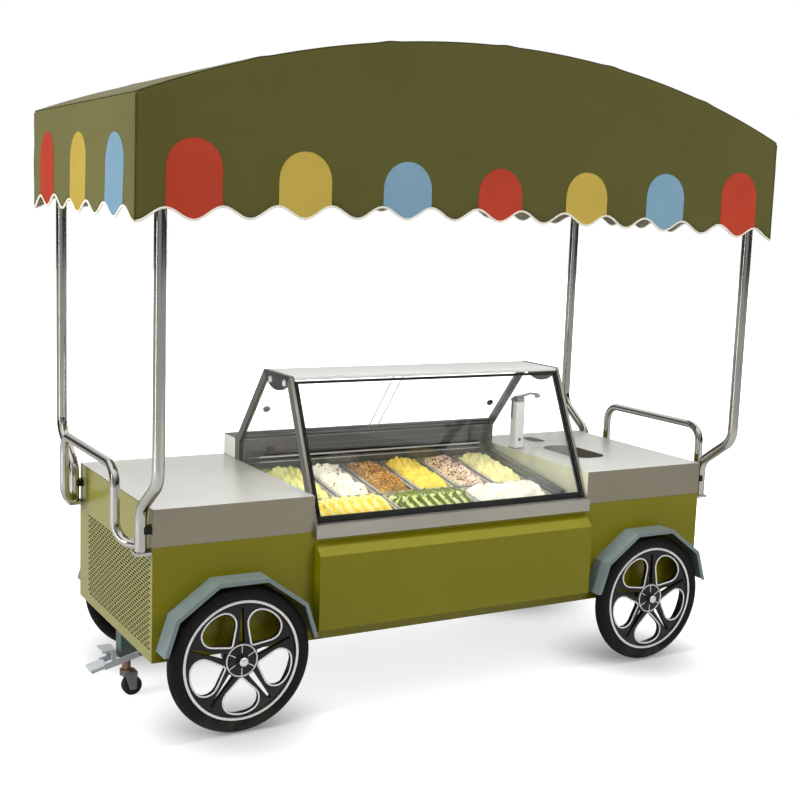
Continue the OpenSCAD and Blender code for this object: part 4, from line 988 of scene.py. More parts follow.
    def seams(self) -> bpy.types.Object:
        """The seams down the four corners and round the top."""
        form = Form()
        for sx, sy in product((-1, 1), repeat=2):
            x, y = sx * self.half_length, sy * self.half_depth
            at, _, hem = self.station(x, y)
            top = self.crown(at.x) - self.edge_round
            heights = [hem + (top - hem) * k / self.seam_steps for k in range(self.seam_steps + 1)]
            path = [self.skirt(x, y, z, self.seam_lift) for z in heights]
            form.tube(path, self.seam, sides=8)
        path = []
        for x, y in self.outline():
            at, out, _ = self.station(x, y)
            inset = self.edge_round * self.seam_share
            p = at - out * inset
            path.append(Vector((p.x, p.y, self.crown(p.x) - inset + self.seam_lift)))
        form.tube(path, self.seam, closed=True, sides=8)
        return form.build("canopy_seams", "cart", "canopy_cloth", SEAM)

    def build(self) -> None:
        cover = self.sheet()
        sewn = [*self.arches(), self.edge_binding(), self.seams()]
        dress(ALLOY, "canopy_frame")


class Swirl(Enum):
    """How the gelato in a pan was worked."""

    SHINGLE = 1
    FLUFF = 2
    ROUGH = 3
    CURLS = 4


@dataclass(frozen=True)
class Flavour:
    """One gelato: its finish, how it is worked and what is strewn on it."""

    finish: Finish
    swirl: Swirl
    bits: Finish | None = None
    bit_count: int = 0
    edge: Finish | None = None


def cream(name: str, color: Color, shade: Color, fleck: Color | None = None, scale: float = 0.0,
          size: float = 0.5) -> Finish:
    """A gelato finish, with flecks where a fleck colour is given."""
    return Finish(name, color, shade, 0.5, 0.1, 22.0, 0.8, bump=0.35, bump_depth=0.002, soft=0.12,
                  fleck_color=fleck or color, fleck_scale=scale, fleck_size=size)


NUT = Finish("nut_bits", srgb(228, 182, 98), srgb(176, 124, 56), 0.5, 0.1, 60.0, 0.8, bump=0.3)
CHOCOLATE = Finish("chocolate_bits", srgb(140, 98, 66), srgb(100, 66, 44), 0.42, 0.1, 60.0, 0.8, bump=0.25)
SEED = Finish("fruit_bits", srgb(78, 100, 34), srgb(48, 62, 22), 0.45, 0.1, 60.0, 0.8, bump=0.25)
FLAVOURS = [
    Flavour(cream("gelato_lime", srgb(232, 232, 150), srgb(206, 208, 112)), Swirl.SHINGLE),
    Flavour(cream("gelato_stracciatella", srgb(246, 241, 226), srgb(232, 224, 202), srgb(196, 176, 130), 90.0,
                  0.5), Swirl.ROUGH, CHOCOLATE, 14),
    Flavour(cream("gelato_nut", srgb(172, 128, 62), srgb(130, 90, 42), srgb(98, 62, 28), 90.0, 0.8),
            Swirl.ROUGH, NUT, 230),
    Flavour(cream("gelato_mango", srgb(240, 214, 96), srgb(226, 190, 66)), Swirl.SHINGLE),
    Flavour(cream("gelato_cookie", srgb(232, 216, 194), srgb(196, 166, 136), srgb(124, 84, 56), 80.0, 0.7),
            Swirl.ROUGH, CHOCOLATE, 110),
    Flavour(cream("gelato_pear", srgb(240, 234, 172), srgb(222, 214, 136)), Swirl.SHINGLE),
    Flavour(cream("gelato_lemon", srgb(246, 212, 58), srgb(230, 182, 34)), Swirl.CURLS,
            edge=cream("gelato_lemon_rind", srgb(250, 240, 170), srgb(244, 228, 130))),
    Flavour(cream("gelato_kiwi", srgb(226, 230, 168), srgb(196, 206, 120)), Swirl.CURLS, SEED, 60,
            cream("gelato_kiwi_skin", srgb(104, 124, 52), srgb(74, 92, 34))),
    Flavour(cream("gelato_cream", srgb(248, 245, 228), srgb(234, 228, 204)), Swirl.FLUFF),
]


@dataclass
class GelatoPan:
    """A steel pan filled with one gelato, in the tilted deck's frame."""

    node: str
    middle: tuple[float, float]
    turned: bool
    flavour: Flavour
    seed: int
    half_width: float = 82.5 * MM
    half_length: float = 177 * MM
    rim: float = 10 * MM
    sheet: float = 1.5 * MM
    depth: float = 108 * MM
    corner: float = 16 * MM
    crest: float = 42 * MM
    brim: float = -16 * MM
    across: int = 44
    along: int = 92
    edge_from: float = 0.62
    shingles: int = 6
    curls: int = 8
    root: float = -30 * MM
    root_taper: tuple[float, float] = (0.97, 0.985)
    bit_reach: tuple[float, float] = (0.85, 0.93)
    bit_sizes: tuple[float, float] = (2.6, 5.4)
    bit_spread: tuple[float, float] = (0.8, 1.15)
    bit_shape: tuple[float, float, float] = (1.5, 1.0, 0.8)

    def matrix(self) -> Matrix:
        """Places the pan's own frame: its rim's lower face in the deck."""
        turn = Matrix.Rotation(math.radians(90 if self.turned else 0), 4, "Z")
        return placed(DECK_AT, DECK_TILT) @ Matrix.Translation((*self.middle, 0)) @ turn

    def pan(self) -> bpy.types.Object:
        """The pan: a rolled rim and thin walls."""
        form = Form()
        w, l, s = self.half_width, self.half_length, self.sheet
        steps = [(0.0, 0.2 * MM), (0.0, s), (1.2 * MM, s + 0.8 * MM), (self.rim - 1.5 * MM, s + 0.8 * MM),
                 (self.rim, s - 0.5 * MM), (self.rim + 3 * MM, s - self.depth + 8 * MM),
                 (self.rim + 10 * MM, s - self.depth + s), (self.rim + 12 * MM, s - self.depth),
                 (self.rim + 3 * MM - s, s - self.depth + 6 * MM), (self.rim - s, -0.5 * MM),
                 (self.rim - 3 * MM, 0.2 * MM)]
        rings, outer = ([[(x, y, z) for x, y in rounded_outline(w - inset, l - inset, self.corner)]
                         for inset, z in some] for some in (steps[:7], steps[7:]))
        form.rings(rings, caps=False, matrix=self.matrix())
        form.rings(outer, caps=False, matrix=self.matrix())
        size = len(rings[0])
        inner_floor, under, lip = 6 * size, 7 * size, 10 * size
        form.faces += [tuple(inner_floor + i for i in range(size)), tuple(under + i for i in range(size))]
        form.faces += [(lip + i, lip + (i + 1) % size, (i + 1) % size, i) for i in range(size)]
        form.marks += [0] * (size + 2)
        piece = form.build(f"{self.node}_steel", self.node, "ice_cream", PAN_STEEL)
        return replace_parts(piece, self.node)

    def curl(self, u: float, v: float) -> tuple[float, float]:
        """Where a point lies on its curl, from 0 to 1, and across its row, from -1 to 1."""
        across = 2 * abs(u) - 1
        s = (v * 0.5 + 0.5) * self.curls + 0.5 * (u > 0) + 0.7 * across * across
        return s - math.floor(s), across

    def height(self, u: float, v: float) -> float:
        """Height of the gelato above the rim's lower face.

        Args:
            u: Place across the pan, from -1 to 1.
            v: Place along the pan, from -1 to 1.
        """
        body = (1 - abs(u) ** 3) ** 0.6 * (1 - abs(v) ** 9) ** 0.5
        shift = self.seed * 3.7
        rough = noise.fractal(Vector((u * 2.4 + shift, v * 5.0, shift)), 0.6, 2.0, 4)
        swirl = self.flavour.swirl
        if swirl is Swirl.SHINGLE:
            s = (v * 0.5 + 0.5) * self.shingles + 0.5 * u * u + 0.25 * math.sin(3 * u + shift)
            f = s - math.floor(s)
            lap = f**0.8 * (1 - max(0.0, (f - 0.82) / 0.18) ** 2)
            ripple = 0.12 * math.sin(16 * u + 2.4 * math.floor(s)) * f
            work = 0.42 + 0.48 * lap + ripple + 0.08 * rough
        elif swirl is Swirl.CURLS:
            f, across = self.curl(u, v)
            curl = f**0.7 * (1 - max(0.0, (f - 0.8) / 0.2) ** 2)
            work = 0.56 + 0.36 * curl * (1 - 0.55 * across**4) + 0.05 * rough
        elif swirl is Swirl.FLUFF:
            puff = noise.fractal(Vector((u * 1.7 + shift, v * 4.2, 1.5)), 0.9, 2.2, 3)
            work = 0.5 + 0.5 * (1 - min(1.0, abs(puff) * 1.8)) + 0.1 * rough - 0.1
        else:
            fold = math.sin(v * 9 + 2.2 * math.sin(u * 2 + shift))
            work = 0.62 + 0.16 * fold + 0.24 * rough
        return self.brim + (self.crest - self.brim) * body * max(0.12, min(1.05, work))

    def gelato(self) -> bpy.types.Object:
        """The gelato: a worked mound with what is strewn on it."""
        form = Form()
        inset = self.rim + 4 * MM
        w, l = self.half_width - inset, self.half_length - inset
        grid = []
        for i in range(self.across + 1):
            for j in range(self.along + 1):
                u, v = 2 * i / self.across - 1, 2 * j / self.along - 1
                grid.append(Vector((u * w, v * l, self.height(u, v))))
        rows = self.along + 1
        across, along = range(self.across), range(self.along)
        faces: Faces = [(i * rows + j, (i + 1) * rows + j, (i + 1) * rows + j + 1, i * rows + j + 1)
                        for i in across for j in along]
        rim = [i * rows for i in across] + [self.across * rows + j for j in along]
        rim += [(i + 1) * rows + self.along for i in reversed(across)] + [j + 1 for j in reversed(along)]
        base = len(grid)
        taper_x, taper_y = self.root_taper
        grid += [Vector((grid[i].x * taper_x, grid[i].y * taper_y, self.root)) for i in rim]
        count = len(rim)
        faces += [(rim[k], rim[(k + 1) % count], base + (k + 1) % count, base + k) for k in range(count)]
        faces.append(tuple(base + k for k in range(count)))
        form.add(grid, faces, matrix=self.matrix())
        if self.flavour.edge:
            for k in range(self.across * self.along):
                u = 2 * (k // self.along + 0.5) / self.across - 1
                v = 2 * (k % self.along + 0.5) / self.along - 1
                form.marks[k] = 2 if self.curl(u, v)[0] > self.edge_from else 0
        draw = Random(self.seed)
        for _ in range(self.flavour.bit_count):
            u, v = (draw.uniform(-reach, reach) for reach in self.bit_reach)
            self.bit(form, Vector((u * w, v * l, self.height(u, v))), draw)
        plain = self.flavour.finish
        finishes = [plain, self.flavour.bits or plain, self.flavour.edge or plain]
        return form.build(f"{self.node}_gelato", self.node, "ice_cream", *finishes, sharp=70.0)

    def bit(self, form: Form, at: Vector, draw: Random) -> None:
        """One uneven crumb at a point of the gelato's top."""
        bm = bmesh.new()
        bmesh.ops.create_icosphere(bm, subdivisions=1, radius=1.0)
        size = draw.uniform(*self.bit_sizes) * MM
        turn = Matrix.Rotation(draw.uniform(0, 6.28), 4, Vector((draw.random(), draw.random(), 0.4)))
        for v in bm.verts:
            long = Vector(c * k for c, k in zip(v.co, self.bit_shape))
            v.co = turn @ long * size * draw.uniform(*self.bit_spread) + at
        form.take(bm, mark=1, matrix=self.matrix())

    def build(self) -> None:
        """Builds the pan and its gelato."""
        self.pan()
        self.gelato()


def rounded_polygon(points: Sequence[tuple[float, float]], radii: Sequence[float],
                    steps: int = 6) -> list[tuple[float, float]]:
    """A counter-clockwise outline with its corners rounded, one radius for each corner."""
    made = []
    count = len(points)
    for i, radius in enumerate(radii):
        p = Vector(points[i])
        u = (Vector(points[i - 1]) - p).normalized()
        v = (Vector(points[(i + 1) % count]) - p).normalized()
        half = math.acos(max(-1.0, min(1.0, u.dot(v)))) / 2
        c = p + (u + v).normalized() * radius / math.sin(half)
        s, e = p + u * radius / math.tan(half) - c, p + v * radius / math.tan(half) - c
        start = math.atan2(s.y, s.x)
        turn = (math.atan2(e.y, e.x) - start + 3 * math.pi) % (2 * math.pi) - math.pi
        for k in range(steps + 1):
            a = start + turn * k / steps
            made.append((c.x + radius * math.cos(a), c.y + radius * math.sin(a)))
    return made


@dataclass
class GelatoDisplay:
    """The glass display: side frames, glass, duct, shelf and pans."""

    frame_in: float = 590 * MM
    frame_out: float = 606 * MM
    glass_low: float = 692 * MM
    glass_front: float = -425.5 * MM
    slope_run: float = 0.473
    slope_length: float = 535 * MM
    glass: float = 6 * MM
    border_low: float = 28 * MM
    border_side: float = 16 * MM
    border_top: float = 13 * MM
    strip_below: float = 36 * MM
    strip_above: float = 10 * MM
    apex_y: float = -73 * MM
    apex_z: float = 1190 * MM
    apex_half: float = 117 * MM
    apex_depth: float = 66 * MM
    apex_plate: float = 1.4 * MM
    apex_middle: float = 1150 * MM
    rear_top: float = 39 * MM
    rear_run: float = 261 / 310
    cap_places: tuple[tuple[float, float], ...] = ((-150 * MM, 1160 * MM), (-27 * MM, 1159 * MM))
    duct_front: float = 240 * MM
    duct_back: float = 425 * MM
    knee_y: float = 305 * MM
    duct_low: float = 762 * MM
    duct_top: float = 880 * MM
    rear_turn: float = 130.095
    knob_x: float = 524 * MM
    knob_along: float = 170 * MM
    knob_r: float = 14.4 * MM
    knob_height: float = 10 * MM
    knob_outer: float = -2 * MM
    knob_inner: float = 21 * MM
    pane_outer: float = 8 * MM
    pane_inner: float = 16 * MM
    pane_lap: float = 25 * MM
    pane_low: float = 14 * MM
    pane_high: float = 390 * MM
    pan_pitch: float = 180 * MM
    rear_middle: float = -177 * MM
    front_middle: float = -448.5 * MM
    rail_out: float = 588 * MM
    rail_front: float = -536 * MM
    rail_back: float = -4 * MM
    rail_steps: tuple[tuple[float, float], ...] = ((546 * MM, 9 * MM), (562 * MM, 22 * MM))
    duct_lines: tuple[tuple[float, float], ...] = ((802 * MM, 6 * MM), (783 * MM, 3 * MM))
    dial_x: float = -514 * MM
    dial_z: float = 826 * MM

    def on_slope(self) -> Matrix:
        """A frame on the front glass's outer face: along X, up the slope, and outwards."""
        length = math.hypot(1.0, self.slope_run)
        up = Vector((0, self.slope_run, 1)) / length
        out = Vector((0, -1, self.slope_run)) / length
        turn = Matrix((Vector((1, 0, 0)), up, out)).transposed().to_4x4()
        return Matrix.Translation((0, self.glass_front, self.glass_low)) @ turn

    def borders(self) -> None:
        """The black printed edge behind the front glass, the seals and the bright strips on the frames."""
        at = self.on_slope()
        low, high = -self.glass - 1.0 * MM, -self.glass - 0.2 * MM
        form = Form()
        x, side, s = self.frame_in, self.border_side, self.slope_length
        form.block((-x, 0, low), (x, self.border_low, high), 0.3 * MM, matrix=at)
        form.block((-x, s - self.border_top, low), (x, s - 2 * MM, high), 0.3 * MM, matrix=at)
        for sign in (-1, 1):
            x0, x1 = span(sign, x, x - side)
            form.block((x0, self.border_low, low), (x1, s - self.border_top, high), 0.3 * MM, matrix=at)
            x0, x1 = span(sign, x - 1.5 * MM, x + 3 * MM)
            form.block((x0, 0, 0.1 * MM), (x1, s, 1.5 * MM), 0.5 * MM, matrix=at)
        form.build("glass_borders", "cart", "frame_paint", BLACK_TRIM)
        strips = Form()
        for sign in (-1, 1):
            x0, x1 = span(sign, x + 4 * MM, self.frame_out - 0.6 * MM)
            strips.block((x0, -self.strip_below, 0.1 * MM), (x1, s + self.strip_above, 1.8 * MM), 0.6 * MM,
                         matrix=at)
        strips.build("frame_strips", "cart", "counter_steel", STEEL)

    def apexes(self) -> None:
        """Dark plates at the side frames' tops, with two bright bolt caps on each."""
        outline = []
        rise = (self.apex_half**2 - self.apex_depth**2) / (2 * self.apex_depth)
        radius = rise + self.apex_depth
        half = math.asin(self.apex_half / radius)
        for k in range(25):
            a = half * (k / 12 - 1)
            y = self.apex_y + (radius - 1 * MM) * math.sin(a)
            z = self.apex_z + rise - (radius - 1 * MM) * math.cos(a)
            front = self.glass_front + (z - self.glass_low) * self.slope_run + 5 * MM
            back = self.rear_top - (z - self.apex_z) * self.rear_run
            outline.append((max(front, min(back, y)), min(z, self.apex_z - 2 * MM)))
        for sign, side in ((-1, "left"), (1, "right")):
            form = Form()
            rings = []
            for out, shrink in ((0.1 * MM, 1.0), (self.apex_plate, 1.0), (self.apex_plate + 0.6 * MM, 0.985)):
                rings.append([(sign * (self.frame_out + out), self.apex_y + (y - self.apex_y) * shrink,
                               self.apex_middle + (z - self.apex_middle) * shrink) for y, z in outline])
            form.rings(rings)
            for y, z in self.cap_places:
                place = placed((sign * (self.frame_out + self.apex_plate), y, z), 90 * sign, "Y")
                form.lathe(mm((13, 0.2), (13, 3), (11, 5.4), (5, 6.4), (0.4, 6.6)), 24, mark=1, matrix=place)
            form.build(f"apex_plate_{side}", "cart", "frame_paint", DARK_GREY, SILVER)

    def pane_edges(self) -> None:
        """The polished edge of each sliding pane where the two overlap."""
        for side, sign, low in (("left", 1, self.pane_outer), ("right", -1, self.pane_inner)):
            form = Form()
            x0, x1 = span(sign, self.pane_lap - 0.6 * MM, self.pane_lap + 0.5 * MM)
            form.block((x0, self.pane_low, low - 0.3 * MM), (x1, self.pane_high, low + 5.3 * MM), 0.3 * MM,
                       matrix=placed((0, self.knee_y, self.duct_top), self.rear_turn))
            form.build(f"pane_edge_{side}", f"rear_pane_{side}", "clear_glass", GLASS_EDGE)

    def knobs(self) -> None:
        """A dark knob on each sliding pane."""
        for side, sign, low in (("left", -1, self.knob_outer), ("right", 1, self.knob_inner)):
            form = Form()
            place = (placed((sign * self.knob_x, self.knee_y, self.duct_top), self.rear_turn)
                     @ Matrix.Translation((0, self.knob_along, low)))
            r, h, e = self.knob_r, self.knob_height, 0.4 * MM
            form.lathe([(0.3 * MM, -e), (r - 2 * MM, -e), (r, 2 * MM), (r, h - 2 * MM), (r - 2 * MM, h + e),
                        (0.3 * MM, h + e)], 32, matrix=place)
            form.build(f"pane_knob_{side}", f"rear_pane_{side}", "clear_glass", BLACK_TRIM)

    def duct(self) -> None:
        """The air duct with its end caps, front lines and a small thermostat."""
        rounded_node("rear_duct", 2.5 * MM, DUCT_GREY)
        form = Form()
        for sign in (-1, 1):
            x0, x1 = span(sign, self.frame_out + 0.1 * MM, self.frame_out + 2.2 * MM)
            form.block((x0, self.knee_y + 2 * MM, self.duct_low + 34 * MM),
                       (x1, self.duct_back - 2 * MM, self.duct_top - 2 * MM), 0.9 * MM)
        x = self.frame_in - 2 * MM
        for z, tall in self.duct_lines:
            form.block((-x + 58 * MM, self.duct_front - 3 * MM, z),
                       (x - 68 * MM, self.duct_front - 0.1 * MM, z + tall), 1 * MM)
        form.block((-x, self.duct_front + 2 * MM, self.duct_top + 0.1 * MM),
                   (x, self.knee_y - 12 * MM, self.duct_top + 1.2 * MM), 0.5 * MM, mark=1)
        form.build("duct_trim", "cart", "frame_paint", PALE_CAP, ALLOY)
        dial = Form()
        keys = [((56 + 8 * k, 10), (61 + 8 * k, 18), 7.4, 5.6, 0.8, 2) for k in range(3)]
        for (u0, v0), (u1, v1), out, back, bend, mark in [((0, 0), (80, 28), 6.0, 0.1, 1.6, 0),
                                                          ((8, 5), (50, 23), 7.0, 5.6, 0.6, 1), *keys]:
            dial.block((self.dial_x + u0 * MM, self.duct_front - out * MM, self.dial_z + v0 * MM),
                       (self.dial_x + u1 * MM, self.duct_front - back * MM, self.dial_z + v1 * MM), bend * MM,
                       mark=mark)
        dial.build("duct_thermostat", "cart", "frame_paint", DIAL, BLACK_TRIM, FRAME_GREY)

    def deck_rails(self) -> None:
        """Dark rails along both sides of the pan deck."""
        form = Form()
        for sign in (-1, 1):
            for near, height in self.rail_steps:
                x0, x1 = span(sign, near, self.rail_out)
                form.block((x0, self.rail_front, 0.2 * MM), (x1, self.rail_back, height), 2 * MM,
                           matrix=placed(DECK_AT, DECK_TILT))
        form.build("deck_rails", "cart", "frame_paint", WELL)

    def pans(self) -> None:
        """The nine pans, each with its gelato."""
        pitch = self.pan_pitch
        places = [(f"pan_rear_{k + 1}", ((k - 2.5) * pitch, self.rear_middle), False) for k in range(6)]
        places += [(f"pan_front_{k + 2}", (2 * k * pitch, self.front_middle), True) for k in (-1, 0, 1)]
        for seed, ((node, at, turned), flavour) in enumerate(zip(places, FLAVOURS)):
            GelatoPan(node, at, turned, flavour, seed + 1).build()

    def build(self) -> None:
        """Builds the display."""
        rounded_node("side_frames", 2 * MM, FRAME_GREY)
        rounded_node("top_shelf", 3 * MM, SHELF)
        rounded_node("front_trim", 3 * MM, STEEL)
        dress(CLEAR, "front_glass", "side_glass", "rear_pane_left", "rear_pane_right")
        dress(FRAME_GREY, "pane_tracks")
        dress(WELL, "pan_deck", "cold_well")
        self.borders()
        self.apexes()
        self.knobs()
        self.pane_edges()
        self.duct()
        self.deck_rails()
        self.pans()


@dataclass
class RoadWheel:
    """A spoked wheel with its tyre, bright rings and hub."""

    corner: str
    x: float
    front: bool
    radius: float = 260 * MM
    width: float = 54 * MM
    bead: float = 213 * MM
    inner_y: float = 451 * MM
    face: float = 46 * MM
    edge: float = 50 * MM
    spokes: int = 5
    ribs: int = 6
    window_near: float = 60 * MM
    window_far: float = 193 * MM
    window_spread: float = 32.976
    window_radii: tuple[float, ...] = (12 * MM, 44 * MM, 100 * MM, 44 * MM)
    hub_ring: float = 56 * MM
    hub_line: float = 2.6 * MM
    window_line: float = 3.1 * MM
    line_out: float = 1.012
    line_flat: float = 0.55
    tread_steps: int = 40
    tread_half: float = 88.0
    grooves: tuple[int, ...] = (13, 20, 27)
    groove: float = 1.4 * MM
    bead_lines: tuple[int, ...] = (4, 36)
    bead_line: float = 0.7 * MM
    steps: int = 96

    def matrix(self) -> Matrix:
        """Places the wheel's own frame: +Z points out from the body."""
        sign = 1 if self.front else -1
        turn = Matrix(((sign, 0, 0), (0, 0, -sign), (0, 1, 0))).to_4x4()
        return Matrix.Translation((self.x, -sign * self.inner_y, self.radius)) @ turn

    def tyre(self) -> None:
        """The tyre: rounded, with fine grooves round the tread and a bead line on each side."""
        half = self.width / 2
        middle_r = self.radius - half
        inner = [(self.bead + r, z) for r, z in mm((0.1, 5), (3, 3.2), (8, 2.2))]
        profile = inner[:]
        for k in range(self.tread_steps + 1):
            turn = math.radians(self.tread_half * (2 * k / self.tread_steps - 1))
            r = half - self.groove * (k in self.grooves) - self.bead_line * (k in self.bead_lines)
            profile.append((middle_r + r * math.cos(turn), half + r * math.sin(turn)))
        profile += [(r, self.width - z) for r, z in reversed(inner)]
        form = Form()
        form.lathe(profile, self.steps, looped=True, matrix=self.matrix())
        node = f"tyre_{self.corner}"
        piece = form.build(f"{node}_form", f"wheel_{self.corner}", "tyre_rubber", RUBBER, sharp=40.0)
        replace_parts(piece, node)

    def trim(self) -> None:
        """The bright rim ring, the lines round the windows and the hub ring with its ribs."""
        form = Form()
        at = self.matrix()
        ring = mm((203, -2), (203.6, 0.8), (206, 1.8), (210, 1.8), (212.4, 0.8), (213, -2))
        form.lathe([(r, self.edge + z) for r, z in ring], self.steps, looped=True, matrix=at)
        tip = Vector((self.window_far, 0)) @ Matrix.Rotation(math.radians(-self.window_spread), 2)
        shape = rounded_polygon([(self.window_near, 0), (tip.x, -abs(tip.y)), (self.window_far + 4 * MM, 0),
                                 (tip.x, abs(tip.y))], self.window_radii)
        centre = Vector((sum(p[0] for p in shape), sum(p[1] for p in shape))) / len(shape)
        flat = (self.line_flat, Vector((0, 0, 1)))
        for k in range(self.spokes):
            turn = Matrix.Rotation(2 * math.pi * k / self.spokes - math.pi / 2, 4, "Z")
            path = []
            for p in shape:
                q = centre + (Vector(p) - centre) * self.line_out
                path.append(turn @ Vector((q.x, q.y, self.face + 0.9 * MM)))
            form.tube(path, self.window_line, closed=True, sides=8, flat=flat, matrix=at)
        for k in range(self.ribs):
            spoke = Matrix.Rotation(2 * math.pi * k / self.ribs + math.pi / 6, 4, "Z")
            form.block((26 * MM, -1.6 * MM, self.face + 0.5 * MM),
                       (55 * MM, 1.6 * MM, self.face + 4.2 * MM), 1 * MM, matrix=at @ spoke)
        hub = [self.hub_ring * Vector((math.cos(a), math.sin(a), 0)) + Vector((0, 0, self.face + 2.2 * MM))
               for a in (2 * math.pi * k / 48 for k in range(48))]
        form.tube(hub, self.hub_line, closed=True, sides=8, matrix=at)
        form.build(f"wheel_trim_{self.corner}", f"wheel_{self.corner}", "wheel_alloy", SILVER)

    def hub(self) -> None:
        """The dark cap inside the hub ring."""
        form = Form()
        cap = mm((25, 0.2), (54.5, 0.2), (54.5, 1.4), (40, 2.2), (27, 3.4), (25, 3.4))
        form.lathe([(r, self.face + z) for r, z in cap], 48, looped=True, matrix=self.matrix())
        form.build(f"hub_cap_{self.corner}", f"wheel_{self.corner}", "wheel_alloy", WHEEL_BLACK)

    def nut(self) -> None:
        """The domed nut on the axle's end."""
        form = Form()
        dome = mm((15, 17), (16, 18.2), (14, 20.5), (9, 23), (3, 24), (0.3, 24.1))
        form.lathe([(r, self.edge + z) for r, z in dome], 32, matrix=self.matrix())
        form.build(f"axle_nut_{self.corner}", "cart", "bright_tube", SILVER)

    def build(self) -> None:
        """Builds the wheel."""
        dress(WHEEL_BLACK, f"wheel_{self.corner}")
        self.tyre()
        self.trim()
        self.hub()
        self.nut()


@dataclass
class BodyShell:
    """The painted panels, fenders and rear doors."""

    end_x: float = -1200 * MM
    sheet: float = 1.5 * MM
    half_depth: float = 422 * MM
    low: float = 267 * MM
    high: float = 792 * MM
    field_low: float = 307 * MM
    field_high: float = 619 * MM
    field_front: float = -404 * MM
    field_back: float = 322 * MM
    columns: int = 20
    rows: int = 30
    slot_length: float = 26.5 * MM
    slot_share: float = 0.56
    screen_in: float = 9 * MM
    screen_past: float = 8 * MM
    screen_fold: float = 12 * MM
    pull_x: float = 46 * MM
    pull_y: float = 425 * MM
    pull_z: float = 485 * MM
    pull_thick: float = 5 * MM
    pull_bends: tuple[tuple[float, ...], ...] = tuple(
        mm((-1, -53), (12, -52), (17, -45), (18, 0), (17, 45), (12, 52), (-1, 53)))

    def slotted_panel(self) -> None:
        """The left end panel with its staggered slots."""
        pitch = (self.field_back - self.field_front) / (self.columns + 0.5)
        row = (self.field_high - self.field_low) / self.rows
        bands = []
        for r in range(self.rows):
            z = self.field_low + r * row
            start = self.field_front + (r % 2) * pitch / 2
            edges = []
            for c in range(self.columns):
                y = start + c * pitch
                edges += [y, y + self.slot_length]
            bands.append((z, z + row * self.slot_share, edges))
        bm = bmesh.new()
        seen: dict[tuple[float, float], bmesh.types.BMVert] = {}

        def at(y: float, z: float) -> bmesh.types.BMVert:
            """The panel's point at y and z, made once."""
            key = round(y, 7), round(z, 7)
            if key not in seen:
                seen[key] = bm.verts.new((self.end_x, y, z))
            return seen[key]

        below: list[float] = [-self.half_depth, self.half_depth]
        z_below = self.low
        for z0, z1, edges in bands + [(self.high, self.high, [])]:
            ends = [-self.half_depth, *edges, self.half_depth]
            bm.faces.new([at(y, z_below) for y in below] + [at(y, z0) for y in reversed(ends)])
            for left, right in zip(ends[0::2], ends[1::2]):
                if z1 > z0:
                    bm.faces.new([at(left, z0), at(right, z0), at(right, z1), at(left, z1)])
            below, z_below = ends, z1
        form = Form()
        form.take(bm)
        # The slotted end takes the paler copy of the olive paint: painted light.
        panel = form.build("end_panel_left_slotted", "cart", "body_paint", END_OLIVE_PAINTED_LIGHT)
        panel.data.polygons.foreach_set("use_smooth", [False] * len(panel.data.polygons))
        normal = panel.data.polygons[0].normal.x
        thick = panel.modifiers.new("sheet", "SOLIDIFY")
        thick.thickness, thick.offset = self.sheet, -1.0 if normal < 0 else 1.0
        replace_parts(panel, "end_panel_left")

    def vent_screen(self) -> None:
        """The screen behind the slots, with its folded frame; its near-black colour is painted shade for the
        dim inside behind the slots.
        """
        form = Form()
        x, past, fold = self.end_x + self.screen_in, self.screen_past, self.screen_fold
        y0, z0 = self.field_front - past, self.field_low - past
        y1, z1 = self.field_back + past, self.field_high + past
        form.block((x, y0, z0), (x + 3 * MM, y1, z1), 0.8 * MM)
        for left, right, low, high in ((y0, y1, z0, z0 + fold), (y0, y1, z1 - fold, z1),
                                       (y0, y0 + fold, z0 + fold, z1 - fold),
                                       (y1 - fold, y1, z0 + fold, z1 - fold)):
            form.block((x - 4 * MM, left, low), (x - 0.2 * MM, right, high), 0.8 * MM)
        form.build("vent_screen", "cart", "machine_alloy", SCREEN_PAINTED_SHADE)

    def door_pulls(self) -> None:
        """A bent pull on each rear door."""
        for side, sign in (("left", -1), ("right", 1)):
            form = Form()
            x, y = sign * self.pull_x, self.pull_y
            path = [Vector((x, y + out, self.pull_z + up)) for out, up in self.pull_bends]
            form.tube(path, self.pull_thick, sides=12)
            for _, up in (self.pull_bends[0], self.pull_bends[-1]):
                form.lathe(mm((11, 0.1), (11, 2), (7, 3)), 24, matrix=placed((x, y, self.pull_z + up), -90))
            form.build(f"door_pull_{side}", f"rear_door_{side}", "bright_tube", CHROME)

    def build(self) -> None:
        """Builds the panels."""
        rounded_node("front_bulge_panel", 4 * MM, OLIVE)
        rounded_node("front_panels", 0.9 * MM, OLIVE)
        rounded_node("end_panel_right", 0.9 * MM, OLIVE)
        rounded_node("fenders", 1.2 * MM, FENDER)
        dress(OLIVE, "rear_panel", "rear_door_left", "rear_door_right")
        dress(CHROME, "door_hinge_pins")
        self.slotted_panel()
        self.vent_screen()
        self.door_pulls()


